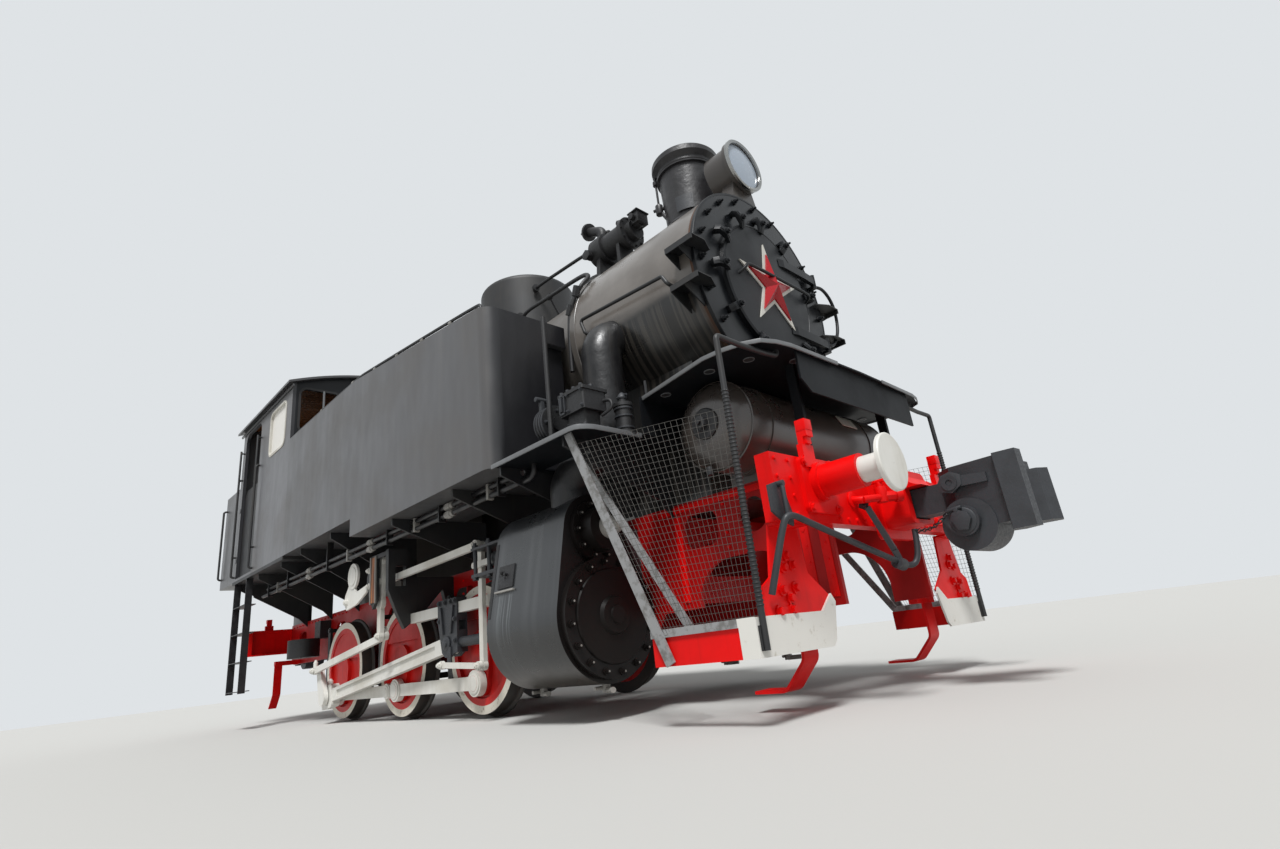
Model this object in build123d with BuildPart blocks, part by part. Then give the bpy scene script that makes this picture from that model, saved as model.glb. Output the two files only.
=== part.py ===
from build123d import *
import os
from math import atan2, cos, degrees, radians, sin, sqrt

os.makedirs("parts", exist_ok=True)

# Steam tank locomotive, six coupled wheels, sizes in millimetres.
# X runs forward to the smokebox, Y to the left, Z up from the wheel flanges.
# The origin lies on the ground under the middle of the length over the couplers.

# Wheels and axles
AXLE_Z = 553
AXLE_X = {"rear": -1725, "middle": -225, "front": 1275}
TREAD_R = 525
FLANGE_R = 553
RIM_R = 452
WHEEL_INNER = 720
WHEEL_OUTER = 860
WEB_INNER = 755
WEB_OUTER = 825
HUB_R = 150
SPOKES = 12
AXLE_R = 88

# Cranks and rods
CRANK_R = 270
PIN_R = 62
ROD_INNER = 876
ROD_OUTER = 936
MAIN_INNER = 952
MAIN_OUTER = 1042
ARM_INNER = 1052
ARM_OUTER = 1100
GEAR_INNER = 1110
GEAR_OUTER = 1150
FIT = 0.1
MAIN_ROD = 2800
RETURN_R = 120
RETURN_LAG = 101
SIDES = (
    # name, sign of Y, crank angle in degrees above the forward line
    ("right", -1, 270),
    ("left", 1, 0),
)

# Cylinders
CYL_Y = 997
CYL_Z = 622
CYL_R = 410
CHEST_Z = 1178
CHEST_Y = 1050
CHEST_R = 250
CYL_REAR = 2280
CYL_FRONT = 3080

# Main frame
FRAME_OUT = 580
FRAME_T = 30
FRAME_TOP = 1300
BEAM_X = 4640
BEAM_T = 90
BEAM_HALF = 1200
BEAM_LOW = 915
BEAM_HIGH = 1262

# Boiler and smokebox
BOILER_Z = 2847
BOILER_R = 740
SMOKE_R = 815
SMOKE_REAR = 2745
SMOKE_FRONT = 4109
SMOKE_T = 20
SADDLE_FRONT = 3760
SIDE_PIPES = (1600, 1665)
SIDE_PIPE_Y = 1320
SIDE_PIPE_R = 21
DOOR_R = 535
DOOR_HOLE = 485
FLUE_R = 195
CHIMNEY_X = 3560
DOOR_HINGE = (4150, 720)
BACKHEAD_X = -2450

# Tanks and cab
SIDE_Y = 1550
TANK_IN = 800
TANK_FRONT = 2650
CAB_FRONT = -1840
CAB_REAR = -3970
WALL = 40
FLOOR_Z = 1870
TANK_TOP = 3300
TANK_SKIRT = 1700
ROOF_EDGE = (1620, 4020)
ROOF_CROWN = 4330
ROOF_T = 30
BUNKER_REAR = -4640
BUNKER_TOP = 3200

# Couplers and buffers
COUPLER_Z = 1015
COUPLER_TIP = 5500
BUFFER_Y = 790
BUFFER_Z = 1131


def side(y):
    """Plane facing the locomotive's right side at the given y: sketch X, Z."""
    return Plane(origin=(0, y, 0), x_dir=(1, 0, 0), z_dir=(0, -1, 0))


def cross(x):
    """Plane across the locomotive at the given x, facing forward: sketch Y, Z."""
    return Plane(origin=(x, 0, 0), x_dir=(0, 1, 0), z_dir=(1, 0, 0))


def level(z):
    """Horizontal plane at the given height: sketch X, Y."""
    return Plane.XY.offset(z)


def near(sign, inner, outer):
    """Plane and depth of a slab between two distances from the centre line."""
    if sign < 0:
        return side(-inner), outer - inner
    return side(outer), outer - inner


def save(builder, name):
    """Label the finished piece and write it under its own name."""
    builder.part.label = name
    export_step(builder.part, f"parts/{name}.step")


def round_bar(points, radius, bend):
    """Round bar along straight runs, joined by arcs of the bend radius."""
    with BuildPart() as bar:
        with BuildLine() as route:
            if len(points) > 2:
                FilletPolyline(*points, radius=bend)
            else:
                Line(*points)
        with BuildSketch(Plane(origin=route.line @ 0, z_dir=route.line % 0)):
            Circle(radius)
        sweep(path=route.line)
    return bar.part


def strip(points, width, thick, bend):
    """Strip of flat steel, its width along Y, bent along runs in a lengthwise plane."""
    with BuildPart() as bar:
        with BuildLine() as route:
            FilletPolyline(*points, radius=bend)
        with BuildSketch(Plane(origin=route.line @ 0, x_dir=(0, 1, 0), z_dir=route.line % 0)):
            Rectangle(width, thick)
        sweep(path=route.line)
    return bar.part


def flat_bar(start, finish, width, depth):
    """Bar of rectangular section that runs straight from one point to another."""
    run = Vector(*finish) - Vector(*start)
    with BuildPart() as bar:
        with BuildSketch(Plane(origin=start, x_dir=(1, 0, 0), z_dir=run)):
            Rectangle(width, depth)
        extrude(amount=run.length)
    return bar.part


def crank_pin(axle, angle):
    """Centre of the crank pin of an axle, as X and Z."""
    x = AXLE_X[axle] + CRANK_R * cos(radians(angle))
    z = AXLE_Z + CRANK_R * sin(radians(angle))
    return x, z


def crosshead_x(angle):
    """X of the crosshead's gudgeon when the driving crank stands at an angle."""
    x, z = crank_pin("rear", angle)
    return x + sqrt(MAIN_ROD**2 - (CYL_Z - z) ** 2)


def return_pin(angle):
    """Centre of the return crank's pin on the driving axle, as X and Z."""
    lagging = radians(angle - RETURN_LAG)
    return AXLE_X["rear"] + RETURN_R * cos(lagging), AXLE_Z + RETURN_R * sin(lagging)


# Wheelsets: cast centres with spokes, balance weights and crank bosses on one axle
WEIGHT_ARC = {"rear": 150, "middle": 130, "front": 110}
for axle, x in AXLE_X.items():
    with BuildPart() as wheelset:
        with BuildSketch(side(WHEEL_OUTER)):
            with Locations((x, AXLE_Z)):
                Circle(AXLE_R)
        extrude(amount=2 * WHEEL_OUTER)
        for name, sign, angle in SIDES:
            plane, depth = near(sign, WHEEL_INNER, WHEEL_OUTER)
            with BuildSketch(plane):
                with Locations((x, AXLE_Z)):
                    Circle(RIM_R)
                    Circle(RIM_R - 55, mode=Mode.SUBTRACT)
            extrude(amount=depth)
            plane, depth = near(sign, WEB_INNER, WEB_OUTER)
            with BuildSketch(plane):
                with Locations((x, AXLE_Z)):
                    with PolarLocations(0, SPOKES, start_angle=angle + 15):
                        with Locations((RIM_R / 2, 0)):
                            Rectangle(RIM_R - 30, 46)
            extrude(amount=depth)
            plane, depth = near(sign, WHEEL_INNER, ROD_INNER - 6)
            boss = (x + CRANK_R * cos(radians(angle)), AXLE_Z + CRANK_R * sin(radians(angle)))
            with BuildSketch(plane):
                with Locations((x, AXLE_Z)):
                    Circle(HUB_R)
                with Locations(boss):
                    Circle(PIN_R + 45)
                make_hull()
            extrude(amount=depth)
            weight = WEIGHT_ARC[axle] / 2
            plane, depth = near(sign, WEB_INNER - 15, WHEEL_OUTER - 8)
            with BuildSketch(plane):
                with BuildLine():
                    turn = [radians(angle + 180 + k * weight) for k in (-1, 0, 1)]
                    arc = [(x + (RIM_R - 20) * cos(t), AXLE_Z + (RIM_R - 20) * sin(t)) for t in turn]
                    ThreePointArc(*arc)
                    Line(arc[2], arc[0])
                make_face()
            extrude(amount=depth)
            plane, depth = near(sign, WHEEL_INNER, ROD_OUTER + 10)
            with BuildSketch(plane):
                with Locations(boss):
                    Circle(PIN_R)
            extrude(amount=depth)
    save(wheelset, f"{axle}_wheelset")
    with BuildPart() as tyres:
        with BuildSketch(Plane.YZ.offset(x)):
            with BuildLine():
                Polyline(
                    (WHEEL_OUTER, AXLE_Z + RIM_R),
                    (WHEEL_OUTER, AXLE_Z + TREAD_R - 8),
                    (WHEEL_INNER + 34, AXLE_Z + TREAD_R),
                    (WHEEL_INNER + 24, AXLE_Z + FLANGE_R - 6),
                    (WHEEL_INNER + 12, AXLE_Z + FLANGE_R),
                    (WHEEL_INNER, AXLE_Z + FLANGE_R - 10),
                    (WHEEL_INNER, AXLE_Z + RIM_R),
                    close=True,
                )
            make_face()
        revolve(axis=Axis((x, 0, AXLE_Z), (0, 1, 0)))
        mirror(about=Plane.XZ)
    save(tyres, f"{axle}_tyres")

# Coupling rods, one jointed pair to a side, level at every turn of the cranks
for name, sign, angle in SIDES:
    pins = [crank_pin(axle, angle) for axle in AXLE_X]
    with BuildPart() as coupling_rod:
        plane, depth = near(sign, ROD_INNER + 12, ROD_OUTER - 12)
        with BuildSketch(plane):
            middle = (pins[0][0] + pins[2][0]) / 2
            with Locations((middle, pins[0][1])):
                Rectangle(pins[2][0] - pins[0][0], 110)
        extrude(amount=depth)
        plane, depth = near(sign, ROD_INNER, ROD_OUTER)
        with BuildSketch(plane):
            with Locations(*pins):
                Circle(PIN_R + 42)
            with Locations((pins[1][0] - 190, pins[1][1])):
                Circle(72)
        extrude(amount=depth)
        plane, depth = near(sign, ROD_INNER - 1, ROD_OUTER + 1)
        with BuildSketch(plane):
            with Locations(*pins):
                Circle(PIN_R + FIT)
        extrude(amount=depth, mode=Mode.SUBTRACT)
    save(coupling_rod, f"{name}_coupling_rod")

# Main rods: fluted, big end on the driving pin, small end at the crosshead
with BuildPart() as main_rods:
    for name, sign, angle in SIDES:
        big = crank_pin("rear", angle)
        small = (crosshead_x(angle), CYL_Z)
        tilt = degrees(atan2(small[1] - big[1], small[0] - big[0]))
        mid = ((big[0] + small[0]) / 2, (big[1] + small[1]) / 2)
        plane, depth = near(sign, MAIN_INNER + 11, MAIN_OUTER - 10)
        with BuildSketch(plane):
            with Locations(Location((mid[0], mid[1]), tilt)):
                Rectangle(MAIN_ROD, 130)
        extrude(amount=depth)
        plane, depth = near(sign, MAIN_OUTER - 28, MAIN_OUTER)
        with BuildSketch(plane):
            with Locations(Location((mid[0], mid[1]), tilt)):
                Rectangle(MAIN_ROD - 520, 66)
        extrude(amount=depth, mode=Mode.SUBTRACT)
        plane, depth = near(sign, MAIN_INNER, MAIN_OUTER)
        with BuildSketch(plane):
            with Locations(Location(big, tilt)):
                RectangleRounded(290, 240, 36)
        extrude(amount=depth)
        plane, depth = near(sign, MAIN_INNER + 11, MAIN_OUTER - 10)
        with BuildSketch(plane):
            with Locations(small):
                Circle(88)
        extrude(amount=depth)
        plane, depth = near(sign, MAIN_INNER - 1, MAIN_OUTER + 1)
        with BuildSketch(plane):
            with Locations(big):
                Circle(PIN_R + FIT)
            with Locations(small):
                Circle(45)
        extrude(amount=depth, mode=Mode.SUBTRACT)
save(main_rods, "main_rods")

# Main frame: two deep plates with cut-outs, horn gaps with axleboxes, and stretchers
HORN_W = 300
FRAME_HOLES = (
    # x, z, width, height, corner radius
    (3610, 1094, 300, 225, 70),
    (4045, 1108, 220, 220, 109),
    (2000, 1090, 340, 200, 99),
    (525, 1060, 420, 200, 99),
    (-975, 1060, 420, 200, 99),
    (-2600, 1060, 340, 200, 99),
    (-3500, 920, 130, 130, 64),
    (-4050, 1060, 300, 220, 70),
)
STRETCHERS = (
    # x, low z, high z
    (3340, 640, 1240),
    (2330, 520, 1240),
    (525, 700, 1180),
    (-975, 480, 900),
    (-2700, 760, 1240),
)
OUTRIGGERS = (
    # x, top z, reach in y
    (-3900, FLOOR_Z - 40, 1500),
    (-2950, FLOOR_Z - 40, 1500),
    (-2050, FLOOR_Z - 40, 1500),
    (-1400, FLOOR_Z, 1500),
    (-500, FLOOR_Z, 1500),
    (950, TANK_SKIRT, 1500),
    (2000, TANK_SKIRT, 1500),
    (2670, TANK_SKIRT - 12, 1500),
    (3380, TANK_SKIRT - 12, 1500),
)
with BuildPart() as main_frame:
    with BuildSketch(side(FRAME_OUT)):
        with BuildLine():
            Polyline(
                (-BEAM_X + BEAM_T, FRAME_TOP),
                (BEAM_X - BEAM_T, FRAME_TOP),
                (BEAM_X - BEAM_T, 500),
                (4290, 500),
                (4290, 600),
                (3180, 600),
                (3050, 430),
                (-2250, 430),
                (-2500, 740),
                (-4400, 740),
                (-BEAM_X + BEAM_T, 880),
                close=True,
            )
        make_face()
        with Locations((3910, 600)):
            SlotOverall(760, 560, rotation=0, mode=Mode.SUBTRACT)
        for x in AXLE_X.values():
            with Locations((x, 525)):
                Rectangle(HORN_W, 440, mode=Mode.SUBTRACT)
        for x, z, width, height, corner in FRAME_HOLES:
            with Locations((x, z)):
                RectangleRounded(width, height, corner, mode=Mode.SUBTRACT)
    extrude(amount=FRAME_T)
    mirror(about=Plane.XZ)
    for x, low, high in STRETCHERS:
        with BuildSketch(cross(x)):
            with Locations((0, (low + high) / 2)):
                Rectangle(2 * (FRAME_OUT - FRAME_T), high - low)
                RectangleRounded(520, (high - low) * 0.4, 60, mode=Mode.SUBTRACT)
        extrude(amount=25)
    for sign in (-1, 1):
        plane, depth = near(sign, FRAME_OUT - 75, FRAME_OUT + 45)
        with BuildSketch(plane):
            for x in AXLE_X.values():
                with Locations((x, AXLE_Z + 20)):
                    Rectangle(HORN_W, 300)
        extrude(amount=depth)
        with BuildSketch(plane):
            for x in AXLE_X.values():
                with Locations((x, AXLE_Z)):
                    Circle(AXLE_R + 0.5)
        extrude(amount=depth, mode=Mode.SUBTRACT)
save(main_frame, "main_frame")

# Brackets from the frame to the tanks, the cab floor and the platforms
with BuildPart() as tank_brackets:
    for x, top, reach in OUTRIGGERS:
        with BuildSketch(cross(x)):
            with BuildLine():
                Polyline(
                    (FRAME_OUT, 1225),
                    (FRAME_OUT, top),
                    (reach, top),
                    (reach, top - 60),
                    (700, FRAME_TOP + 40),
                    close=True,
                )
            make_face()
            with Locations(*[(SIDE_PIPE_Y, z) for z in SIDE_PIPES]):
                Circle(SIDE_PIPE_R + 3, mode=Mode.SUBTRACT)
        extrude(amount=20)
    mirror(about=Plane.XZ)
save(tank_brackets, "tank_brackets")

# Buffer beams: channels with the web ahead, buffer housings, strikers and lamp irons
BEAM_WEB = 14
BEAM_LIP = 20
HOUSING_R = 88
HOUSING_LONG = 275
LAMP_IRON_Y = 865
with BuildPart() as buffer_beams:
    beam_mid = (BEAM_LOW + BEAM_HIGH) / 2
    with BuildSketch(side(BEAM_HALF)):
        with Locations((BEAM_X - BEAM_T / 2, beam_mid)):
            Rectangle(BEAM_T, BEAM_HIGH - BEAM_LOW)
        with Locations((BEAM_X - BEAM_T / 2 - BEAM_WEB, beam_mid)):
            Rectangle(BEAM_T, BEAM_HIGH - BEAM_LOW - 2 * BEAM_LIP, mode=Mode.SUBTRACT)
    extrude(amount=2 * BEAM_HALF)
    with BuildSketch(cross(BEAM_X - BEAM_T)):
        with Locations((0, beam_mid)):
            Rectangle(2 * FRAME_OUT, BEAM_HIGH - BEAM_LOW)
        for y in (-BEAM_HALF + 50, BEAM_HALF - 50):
            with Locations((y, beam_mid)):
                Rectangle(100, BEAM_HIGH - BEAM_LOW)
    extrude(amount=BEAM_T - BEAM_WEB)
    with BuildSketch(cross(BEAM_X)):
        for y in (-BUFFER_Y, BUFFER_Y):
            with Locations((y, BUFFER_Z - 20)):
                RectangleRounded(330, 300, 30)
    extrude(amount=22)
    with BuildSketch(cross(BEAM_X)):
        for y in (-BUFFER_Y, BUFFER_Y):
            with Locations((y, BUFFER_Z)):
                Circle(HOUSING_R + 16)
    extrude(amount=60)
    with BuildSketch(cross(BEAM_X)):
        for y in (-BUFFER_Y, BUFFER_Y):
            with Locations((y, BUFFER_Z)):
                Circle(HOUSING_R)
    extrude(amount=HOUSING_LONG)
    for low, high, width, depth in ((BEAM_HIGH - 60, 1330, 110, 34), (1330, 1420, 66, 34)):
        with BuildSketch(cross(BEAM_X)):
            for y in (-LAMP_IRON_Y, LAMP_IRON_Y):
                with Locations((y, (low + high) / 2)):
                    Rectangle(width, high - low)
        extrude(amount=depth)
    with BuildSketch(cross(BEAM_X + 34)):
        for y in (-LAMP_IRON_Y, LAMP_IRON_Y):
            with Locations((y, 1395)):
                Rectangle(66, 50)
    extrude(amount=26)
    with BuildSketch(cross(BEAM_X)):
        with Locations((0, COUPLER_Z + 40)):
            RectangleRounded(430, 430, 40)
    extrude(amount=40)
    with BuildSketch(cross(BEAM_X)):
        with Locations((0, COUPLER_Z + 45)):
            RectangleRounded(340, 330, 60)
    extrude(amount=200, taper=2)
    with BuildSketch(side(165)):
        with BuildLine():
            Line((BEAM_X + 190, COUPLER_Z + 88), (BEAM_X + 300, COUPLER_Z + 88))
            RadiusArc((BEAM_X + 300, COUPLER_Z + 88), (BEAM_X + 190, COUPLER_Z + 200), 130)
            Line((BEAM_X + 190, COUPLER_Z + 200), (BEAM_X + 190, COUPLER_Z + 88))
        make_face()
    extrude(amount=330)
    with BuildSketch(cross(BEAM_X - BEAM_T)):
        with Locations((0, COUPLER_Z)):
            Rectangle(200, 175)
    extrude(amount=400, mode=Mode.SUBTRACT)
    mirror(about=Plane.YZ)
save(buffer_beams, "buffer_beams")

# Buffer plungers with flat discs
PLUNGER_LONG = 140
DISC_T = 24
with BuildPart() as buffers:
    with BuildSketch(cross(BEAM_X + HOUSING_LONG)):
        for y in (-BUFFER_Y, BUFFER_Y):
            with Locations((y, BUFFER_Z)):
                Circle(68)
    extrude(amount=PLUNGER_LONG)
    with BuildSketch(cross(BEAM_X + HOUSING_LONG + PLUNGER_LONG)):
        for y in (-BUFFER_Y, BUFFER_Y):
            with Locations((y, BUFFER_Z)):
                Circle(150)
    extrude(amount=DISC_T)
    rims = buffers.edges().filter_by(GeomType.CIRCLE).sort_by(Axis.X)[-2:]
    fillet(rims, 8)
    mirror(about=Plane.YZ)
save(buffers, "buffers")

# Automatic couplers: shank, head with its tall side tooth, the far jaw and the lock drum
SHANK_HALF = 80
HEAD_LOW = COUPLER_Z - 215
HEAD_HIGH = COUPLER_Z + 135
with BuildPart() as couplers:
    with BuildSketch(level(COUPLER_Z - SHANK_HALF)):
        with Locations(((BEAM_X + 5040) / 2 - 30, 0)):
            Rectangle(5040 - BEAM_X + 60, 2 * SHANK_HALF)
    extrude(amount=2 * SHANK_HALF)
    with BuildSketch(level(HEAD_LOW)):
        with BuildLine():
            Polyline(
                (5020, -95),
                (5110, -180),
                (5370, -205),
                (5380, -110),
                (5300, -80),
                (5320, 60),
                (5390, 110),
                (5400, 240),
                (5190, 150),
                (5020, 95),
                close=True,
            )
        make_face()
    extrude(amount=HEAD_HIGH - HEAD_LOW)
    with BuildSketch(level(COUPLER_Z - 260)):
        with BuildLine():
            Polyline((5362, -240), (5470, -228), (5476, -150), (5385, -100), (5330, -130), close=True)
        make_face()
    extrude(amount=400)
    with BuildSketch(level(COUPLER_Z - 215)):
        with BuildLine():
            Polyline(
                (5350, 70),
                (5462, 110),
                (COUPLER_TIP, 185),
                (COUPLER_TIP - 18, 262),
                (5330, 255),
                (5300, 140),
                close=True,
            )
        make_face()
    extrude(amount=285)
    with BuildSketch(side(60)):
        with Locations((5150, COUPLER_Z - 190)):
            Circle(140)
    extrude(amount=265)
    for x, z, radius, start, depth in (
        (5135, COUPLER_Z - 170, 82, -205, 36),
        (5110, COUPLER_Z + 45, 42, -175, 50),
    ):
        with BuildSketch(side(start + 30)):
            with Locations((x, z)):
                Circle(radius)
        extrude(amount=depth + 30)
    with BuildSketch(side(-170)):
        with BuildLine():
            Polyline(
                (5085, COUPLER_Z + 75),
                (5135, COUPLER_Z + 75),
                (5300, COUPLER_Z + 60),
                (5300, COUPLER_Z + 10),
                (5135, COUPLER_Z + 15),
                (5085, COUPLER_Z + 15),
                (5040, COUPLER_Z + 50),
                close=True,
            )
        make_face()
    extrude(amount=44)
    with BuildSketch(side(-150)):
        with Locations((5110, COUPLER_Z + 45)):
            Circle(18)
    extrude(amount=100, mode=Mode.SUBTRACT)
    mirror(about=Plane.YZ)
save(couplers, "couplers")

# Boiler barrel with the firebox between the frames and the backhead in the cab
FIREBOX_HALF = FRAME_OUT - FRAME_T - 10
with BuildPart() as boiler:
    with BuildSketch(cross(BACKHEAD_X)):
        with Locations((0, BOILER_Z)):
            Circle(BOILER_R)
    extrude(amount=SMOKE_REAR - BACKHEAD_X)
    with BuildSketch(cross(BACKHEAD_X)):
        with BuildLine():
            Polyline(
                (-FIREBOX_HALF, 960),
                (FIREBOX_HALF, 960),
                (FIREBOX_HALF, BOILER_Z - 480),
                (-FIREBOX_HALF, BOILER_Z - 480),
                close=True,
            )
        make_face()
    extrude(amount=1500)
save(boiler, "boiler")

# Smokebox: hollow drum on its saddle, front plate with the round door opening
with BuildPart() as smokebox:
    with BuildSketch(cross(3000)):
        with Locations((0, FRAME_TOP + 500)):
            Rectangle(2 * FRAME_OUT, 1000)
    extrude(amount=SADDLE_FRONT - 3000)
    with BuildSketch(cross(SMOKE_REAR)):
        with Locations((0, BOILER_Z)):
            Circle(SMOKE_R)
    extrude(amount=SMOKE_FRONT - SMOKE_REAR)
    with BuildSketch(cross(SMOKE_REAR + SMOKE_T)):
        with Locations((0, BOILER_Z)):
            Circle(SMOKE_R - SMOKE_T)
    extrude(amount=SMOKE_FRONT - SMOKE_REAR - 2 * SMOKE_T, mode=Mode.SUBTRACT)
    with BuildSketch(cross(SMOKE_FRONT - 2 * SMOKE_T)):
        with Locations((0, BOILER_Z)):
            Circle(DOOR_HOLE)
    extrude(amount=3 * SMOKE_T, mode=Mode.SUBTRACT)
    with BuildSketch(level(BOILER_Z + 400)):
        with Locations((CHIMNEY_X, 0)):
            Circle(FLUE_R)
    extrude(amount=600, mode=Mode.SUBTRACT)
    for z in (BOILER_Z - 300, BOILER_Z + 300):
        for shift in (-62, 38):
            with BuildSketch(level(z + shift)):
                with Locations((SMOKE_FRONT + 20, DOOR_HINGE[1])):
                    Rectangle(40, 44)
                with Locations(DOOR_HINGE):
                    Circle(22)
            extrude(amount=24)
        with BuildSketch(level(z - 62)):
            with Locations(DOOR_HINGE):
                Circle(11)
        extrude(amount=124)
save(smokebox, "smokebox")

# Smokebox door, dished, with two hinge straps
DISH = 52
with BuildPart() as smokebox_door:
    with BuildSketch(Plane.XZ):
        with BuildLine():
            rim_x = SMOKE_FRONT + 1
            Line((rim_x, BOILER_Z), (rim_x, BOILER_Z + DOOR_R))
            Line((rim_x, BOILER_Z + DOOR_R), (rim_x + 32, BOILER_Z + DOOR_R - 4))
            Line((rim_x + 32, BOILER_Z + DOOR_R - 4), (rim_x + 40, BOILER_Z + DOOR_R - 20))
            TangentArc(
                (rim_x + DISH, BOILER_Z),
                (rim_x + 40, BOILER_Z + DOOR_R - 20),
                tangent=(0, 1),
            )
            Line((rim_x + DISH, BOILER_Z), (rim_x, BOILER_Z))
        make_face()
    revolve(axis=Axis((0, 0, BOILER_Z), (1, 0, 0)))
    for z in (BOILER_Z - 300, BOILER_Z + 300):
        with BuildSketch(level(z - 35)):
            with BuildLine():
                Polyline(
                    (SMOKE_FRONT + 35, 300),
                    (SMOKE_FRONT + 52, 190),
                    (SMOKE_FRONT + 66, 250),
                    (SMOKE_FRONT + 66, 560),
                    (DOOR_HINGE[0] + 18, DOOR_HINGE[1]),
                    (DOOR_HINGE[0] - 12, DOOR_HINGE[1] - 20),
                    (SMOKE_FRONT + 30, 560),
                    close=True,
                )
            make_face()
            with Locations(DOOR_HINGE):
                Circle(22)
        extrude(amount=70)
        with BuildSketch(level(z - 36)):
            with Locations(DOOR_HINGE):
                Circle(11.5)
        extrude(amount=72, mode=Mode.SUBTRACT)
save(smokebox_door, "smokebox_door")

# Chimney: tapered stack with an overhanging lip, seated on the smokebox by a low skirt
CHIMNEY_TOP = 4410
with BuildPart() as chimney:
    with BuildSketch(Plane.XZ):
        with BuildLine():
            Polyline(
                (CHIMNEY_X + FLUE_R, 3500),
                (CHIMNEY_X + 285, 3500),
                (CHIMNEY_X + 285, 3650),
                (CHIMNEY_X + 262, 3690),
                (CHIMNEY_X + 232, 3760),
                (CHIMNEY_X + 250, 4268),
                (CHIMNEY_X + 262, 4285),
                (CHIMNEY_X + 262, 4312),
                (CHIMNEY_X + 300, 4350),
                (CHIMNEY_X + 300, 4396),
                (CHIMNEY_X + 288, CHIMNEY_TOP),
                (CHIMNEY_X + FLUE_R, CHIMNEY_TOP),
                close=True,
            )
        make_face()
    revolve(axis=Axis((CHIMNEY_X, 0, 0), (0, 0, 1)))
    with BuildSketch(cross(SMOKE_REAR)):
        with Locations((0, BOILER_Z)):
            Circle(SMOKE_R)
    extrude(amount=SMOKE_FRONT - SMOKE_REAR, mode=Mode.SUBTRACT)
save(chimney, "chimney")

# Dome casing and the small dome ahead of it
DOMES = (
    # x, radius, top z, edge radius
    (1095, 520, 4305, 60),
    (2375, 215, 3850, 90),
)
with BuildPart() as domes:
    for x, radius, top, edge in DOMES:
        with BuildSketch(Plane.XZ):
            with BuildLine():
                Line((x, BOILER_Z + 500), (x + radius, BOILER_Z + 500))
                Line((x + radius, BOILER_Z + 500), (x + radius, top - edge))
                RadiusArc((x + radius, top - edge), (x + radius - edge, top), -edge)
                Line((x + radius - edge, top), (x, top))
                Line((x, top), (x, BOILER_Z + 500))
            make_face()
        revolve(axis=Axis((x, 0, 0), (0, 0, 1)))
    with BuildSketch(cross(BACKHEAD_X)):
        with Locations((0, BOILER_Z)):
            Circle(BOILER_R)
    extrude(amount=SMOKE_REAR - BACKHEAD_X, mode=Mode.SUBTRACT)
save(domes, "domes")

# Headlight drum on its pedestal in front of the chimney
LAMP_X = 4125
LAMP_Z = 4005
with BuildPart() as headlight:
    with BuildSketch(cross(LAMP_X - 235)):
        with Locations((0, LAMP_Z)):
            Circle(205)
    extrude(amount=205)
    with BuildSketch(cross(LAMP_X - 30)):
        with Locations((0, LAMP_Z)):
            Circle(226)
    extrude(amount=40)
    with BuildSketch(cross(LAMP_X - 20)):
        with Locations((0, LAMP_Z)):
            Circle(200)
    extrude(amount=40, mode=Mode.SUBTRACT)
    with BuildSketch(cross(LAMP_X - 150)):
        with BuildLine():
            Polyline(
                (-110, LAMP_Z - 150),
                (110, LAMP_Z - 150),
                (190, BOILER_Z + 700),
                (-190, BOILER_Z + 700),
                close=True,
            )
        make_face()
    extrude(amount=115)
    with BuildSketch(cross(SMOKE_REAR)):
        with Locations((0, BOILER_Z)):
            Circle(SMOKE_R)
    extrude(amount=SMOKE_FRONT - SMOKE_REAR, mode=Mode.SUBTRACT)
save(headlight, "headlight")

# Turbine generator on its foot behind the chimney, with its steam pipe
TURBO_X = 2640
TURBO_Y = -200
TURBO_Z = 3960
TURBO_DRUMS = (
    # start from TURBO_X, length, radius
    (-120, 40, 118),
    (-80, 150, 150),
    (70, 250, 124),
    (320, 44, 152),
    (364, 60, 92),
)
with BuildPart() as turbo_generator:
    for start, length, radius in TURBO_DRUMS:
        with BuildSketch(cross(TURBO_X + start)):
            with Locations((TURBO_Y, TURBO_Z)):
                Circle(radius)
        extrude(amount=length)
    with BuildSketch(cross(TURBO_X - 30)):
        with BuildLine():
            Polyline(
                (TURBO_Y - 150, 3400),
                (TURBO_Y + 150, 3400),
                (TURBO_Y + 90, TURBO_Z),
                (TURBO_Y - 90, TURBO_Z),
                close=True,
            )
        make_face()
    extrude(amount=50)
    with BuildSketch(cross(TURBO_X + 230)):
        with Locations((TURBO_Y, (3400 + TURBO_Z) / 2)):
            Rectangle(180, TURBO_Z - 3400)
    extrude(amount=40)
    elbow = (
        (TURBO_X - 20, TURBO_Y, TURBO_Z + 100),
        (TURBO_X - 20, TURBO_Y, TURBO_Z + 240),
        (TURBO_X - 190, TURBO_Y, TURBO_Z + 330),
    )
    add(round_bar(elbow, 46, 70))
    with BuildSketch(Plane(origin=elbow[2], z_dir=Vector(*elbow[2]) - Vector(*elbow[1]))):
        Circle(84)
    extrude(amount=26)
    with BuildSketch(cross(TURBO_X + 420)):
        with Locations((TURBO_Y, TURBO_Z + 60)):
            Circle(60)
    extrude(amount=70)
    for start, finish, radius in ((BACKHEAD_X, SMOKE_REAR, BOILER_R), (SMOKE_REAR, SMOKE_FRONT, SMOKE_R)):
        with BuildSketch(cross(start)):
            with Locations((0, BOILER_Z)):
                Circle(radius)
        extrude(amount=finish - start, mode=Mode.SUBTRACT)
save(turbo_generator, "turbo_generator")

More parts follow.
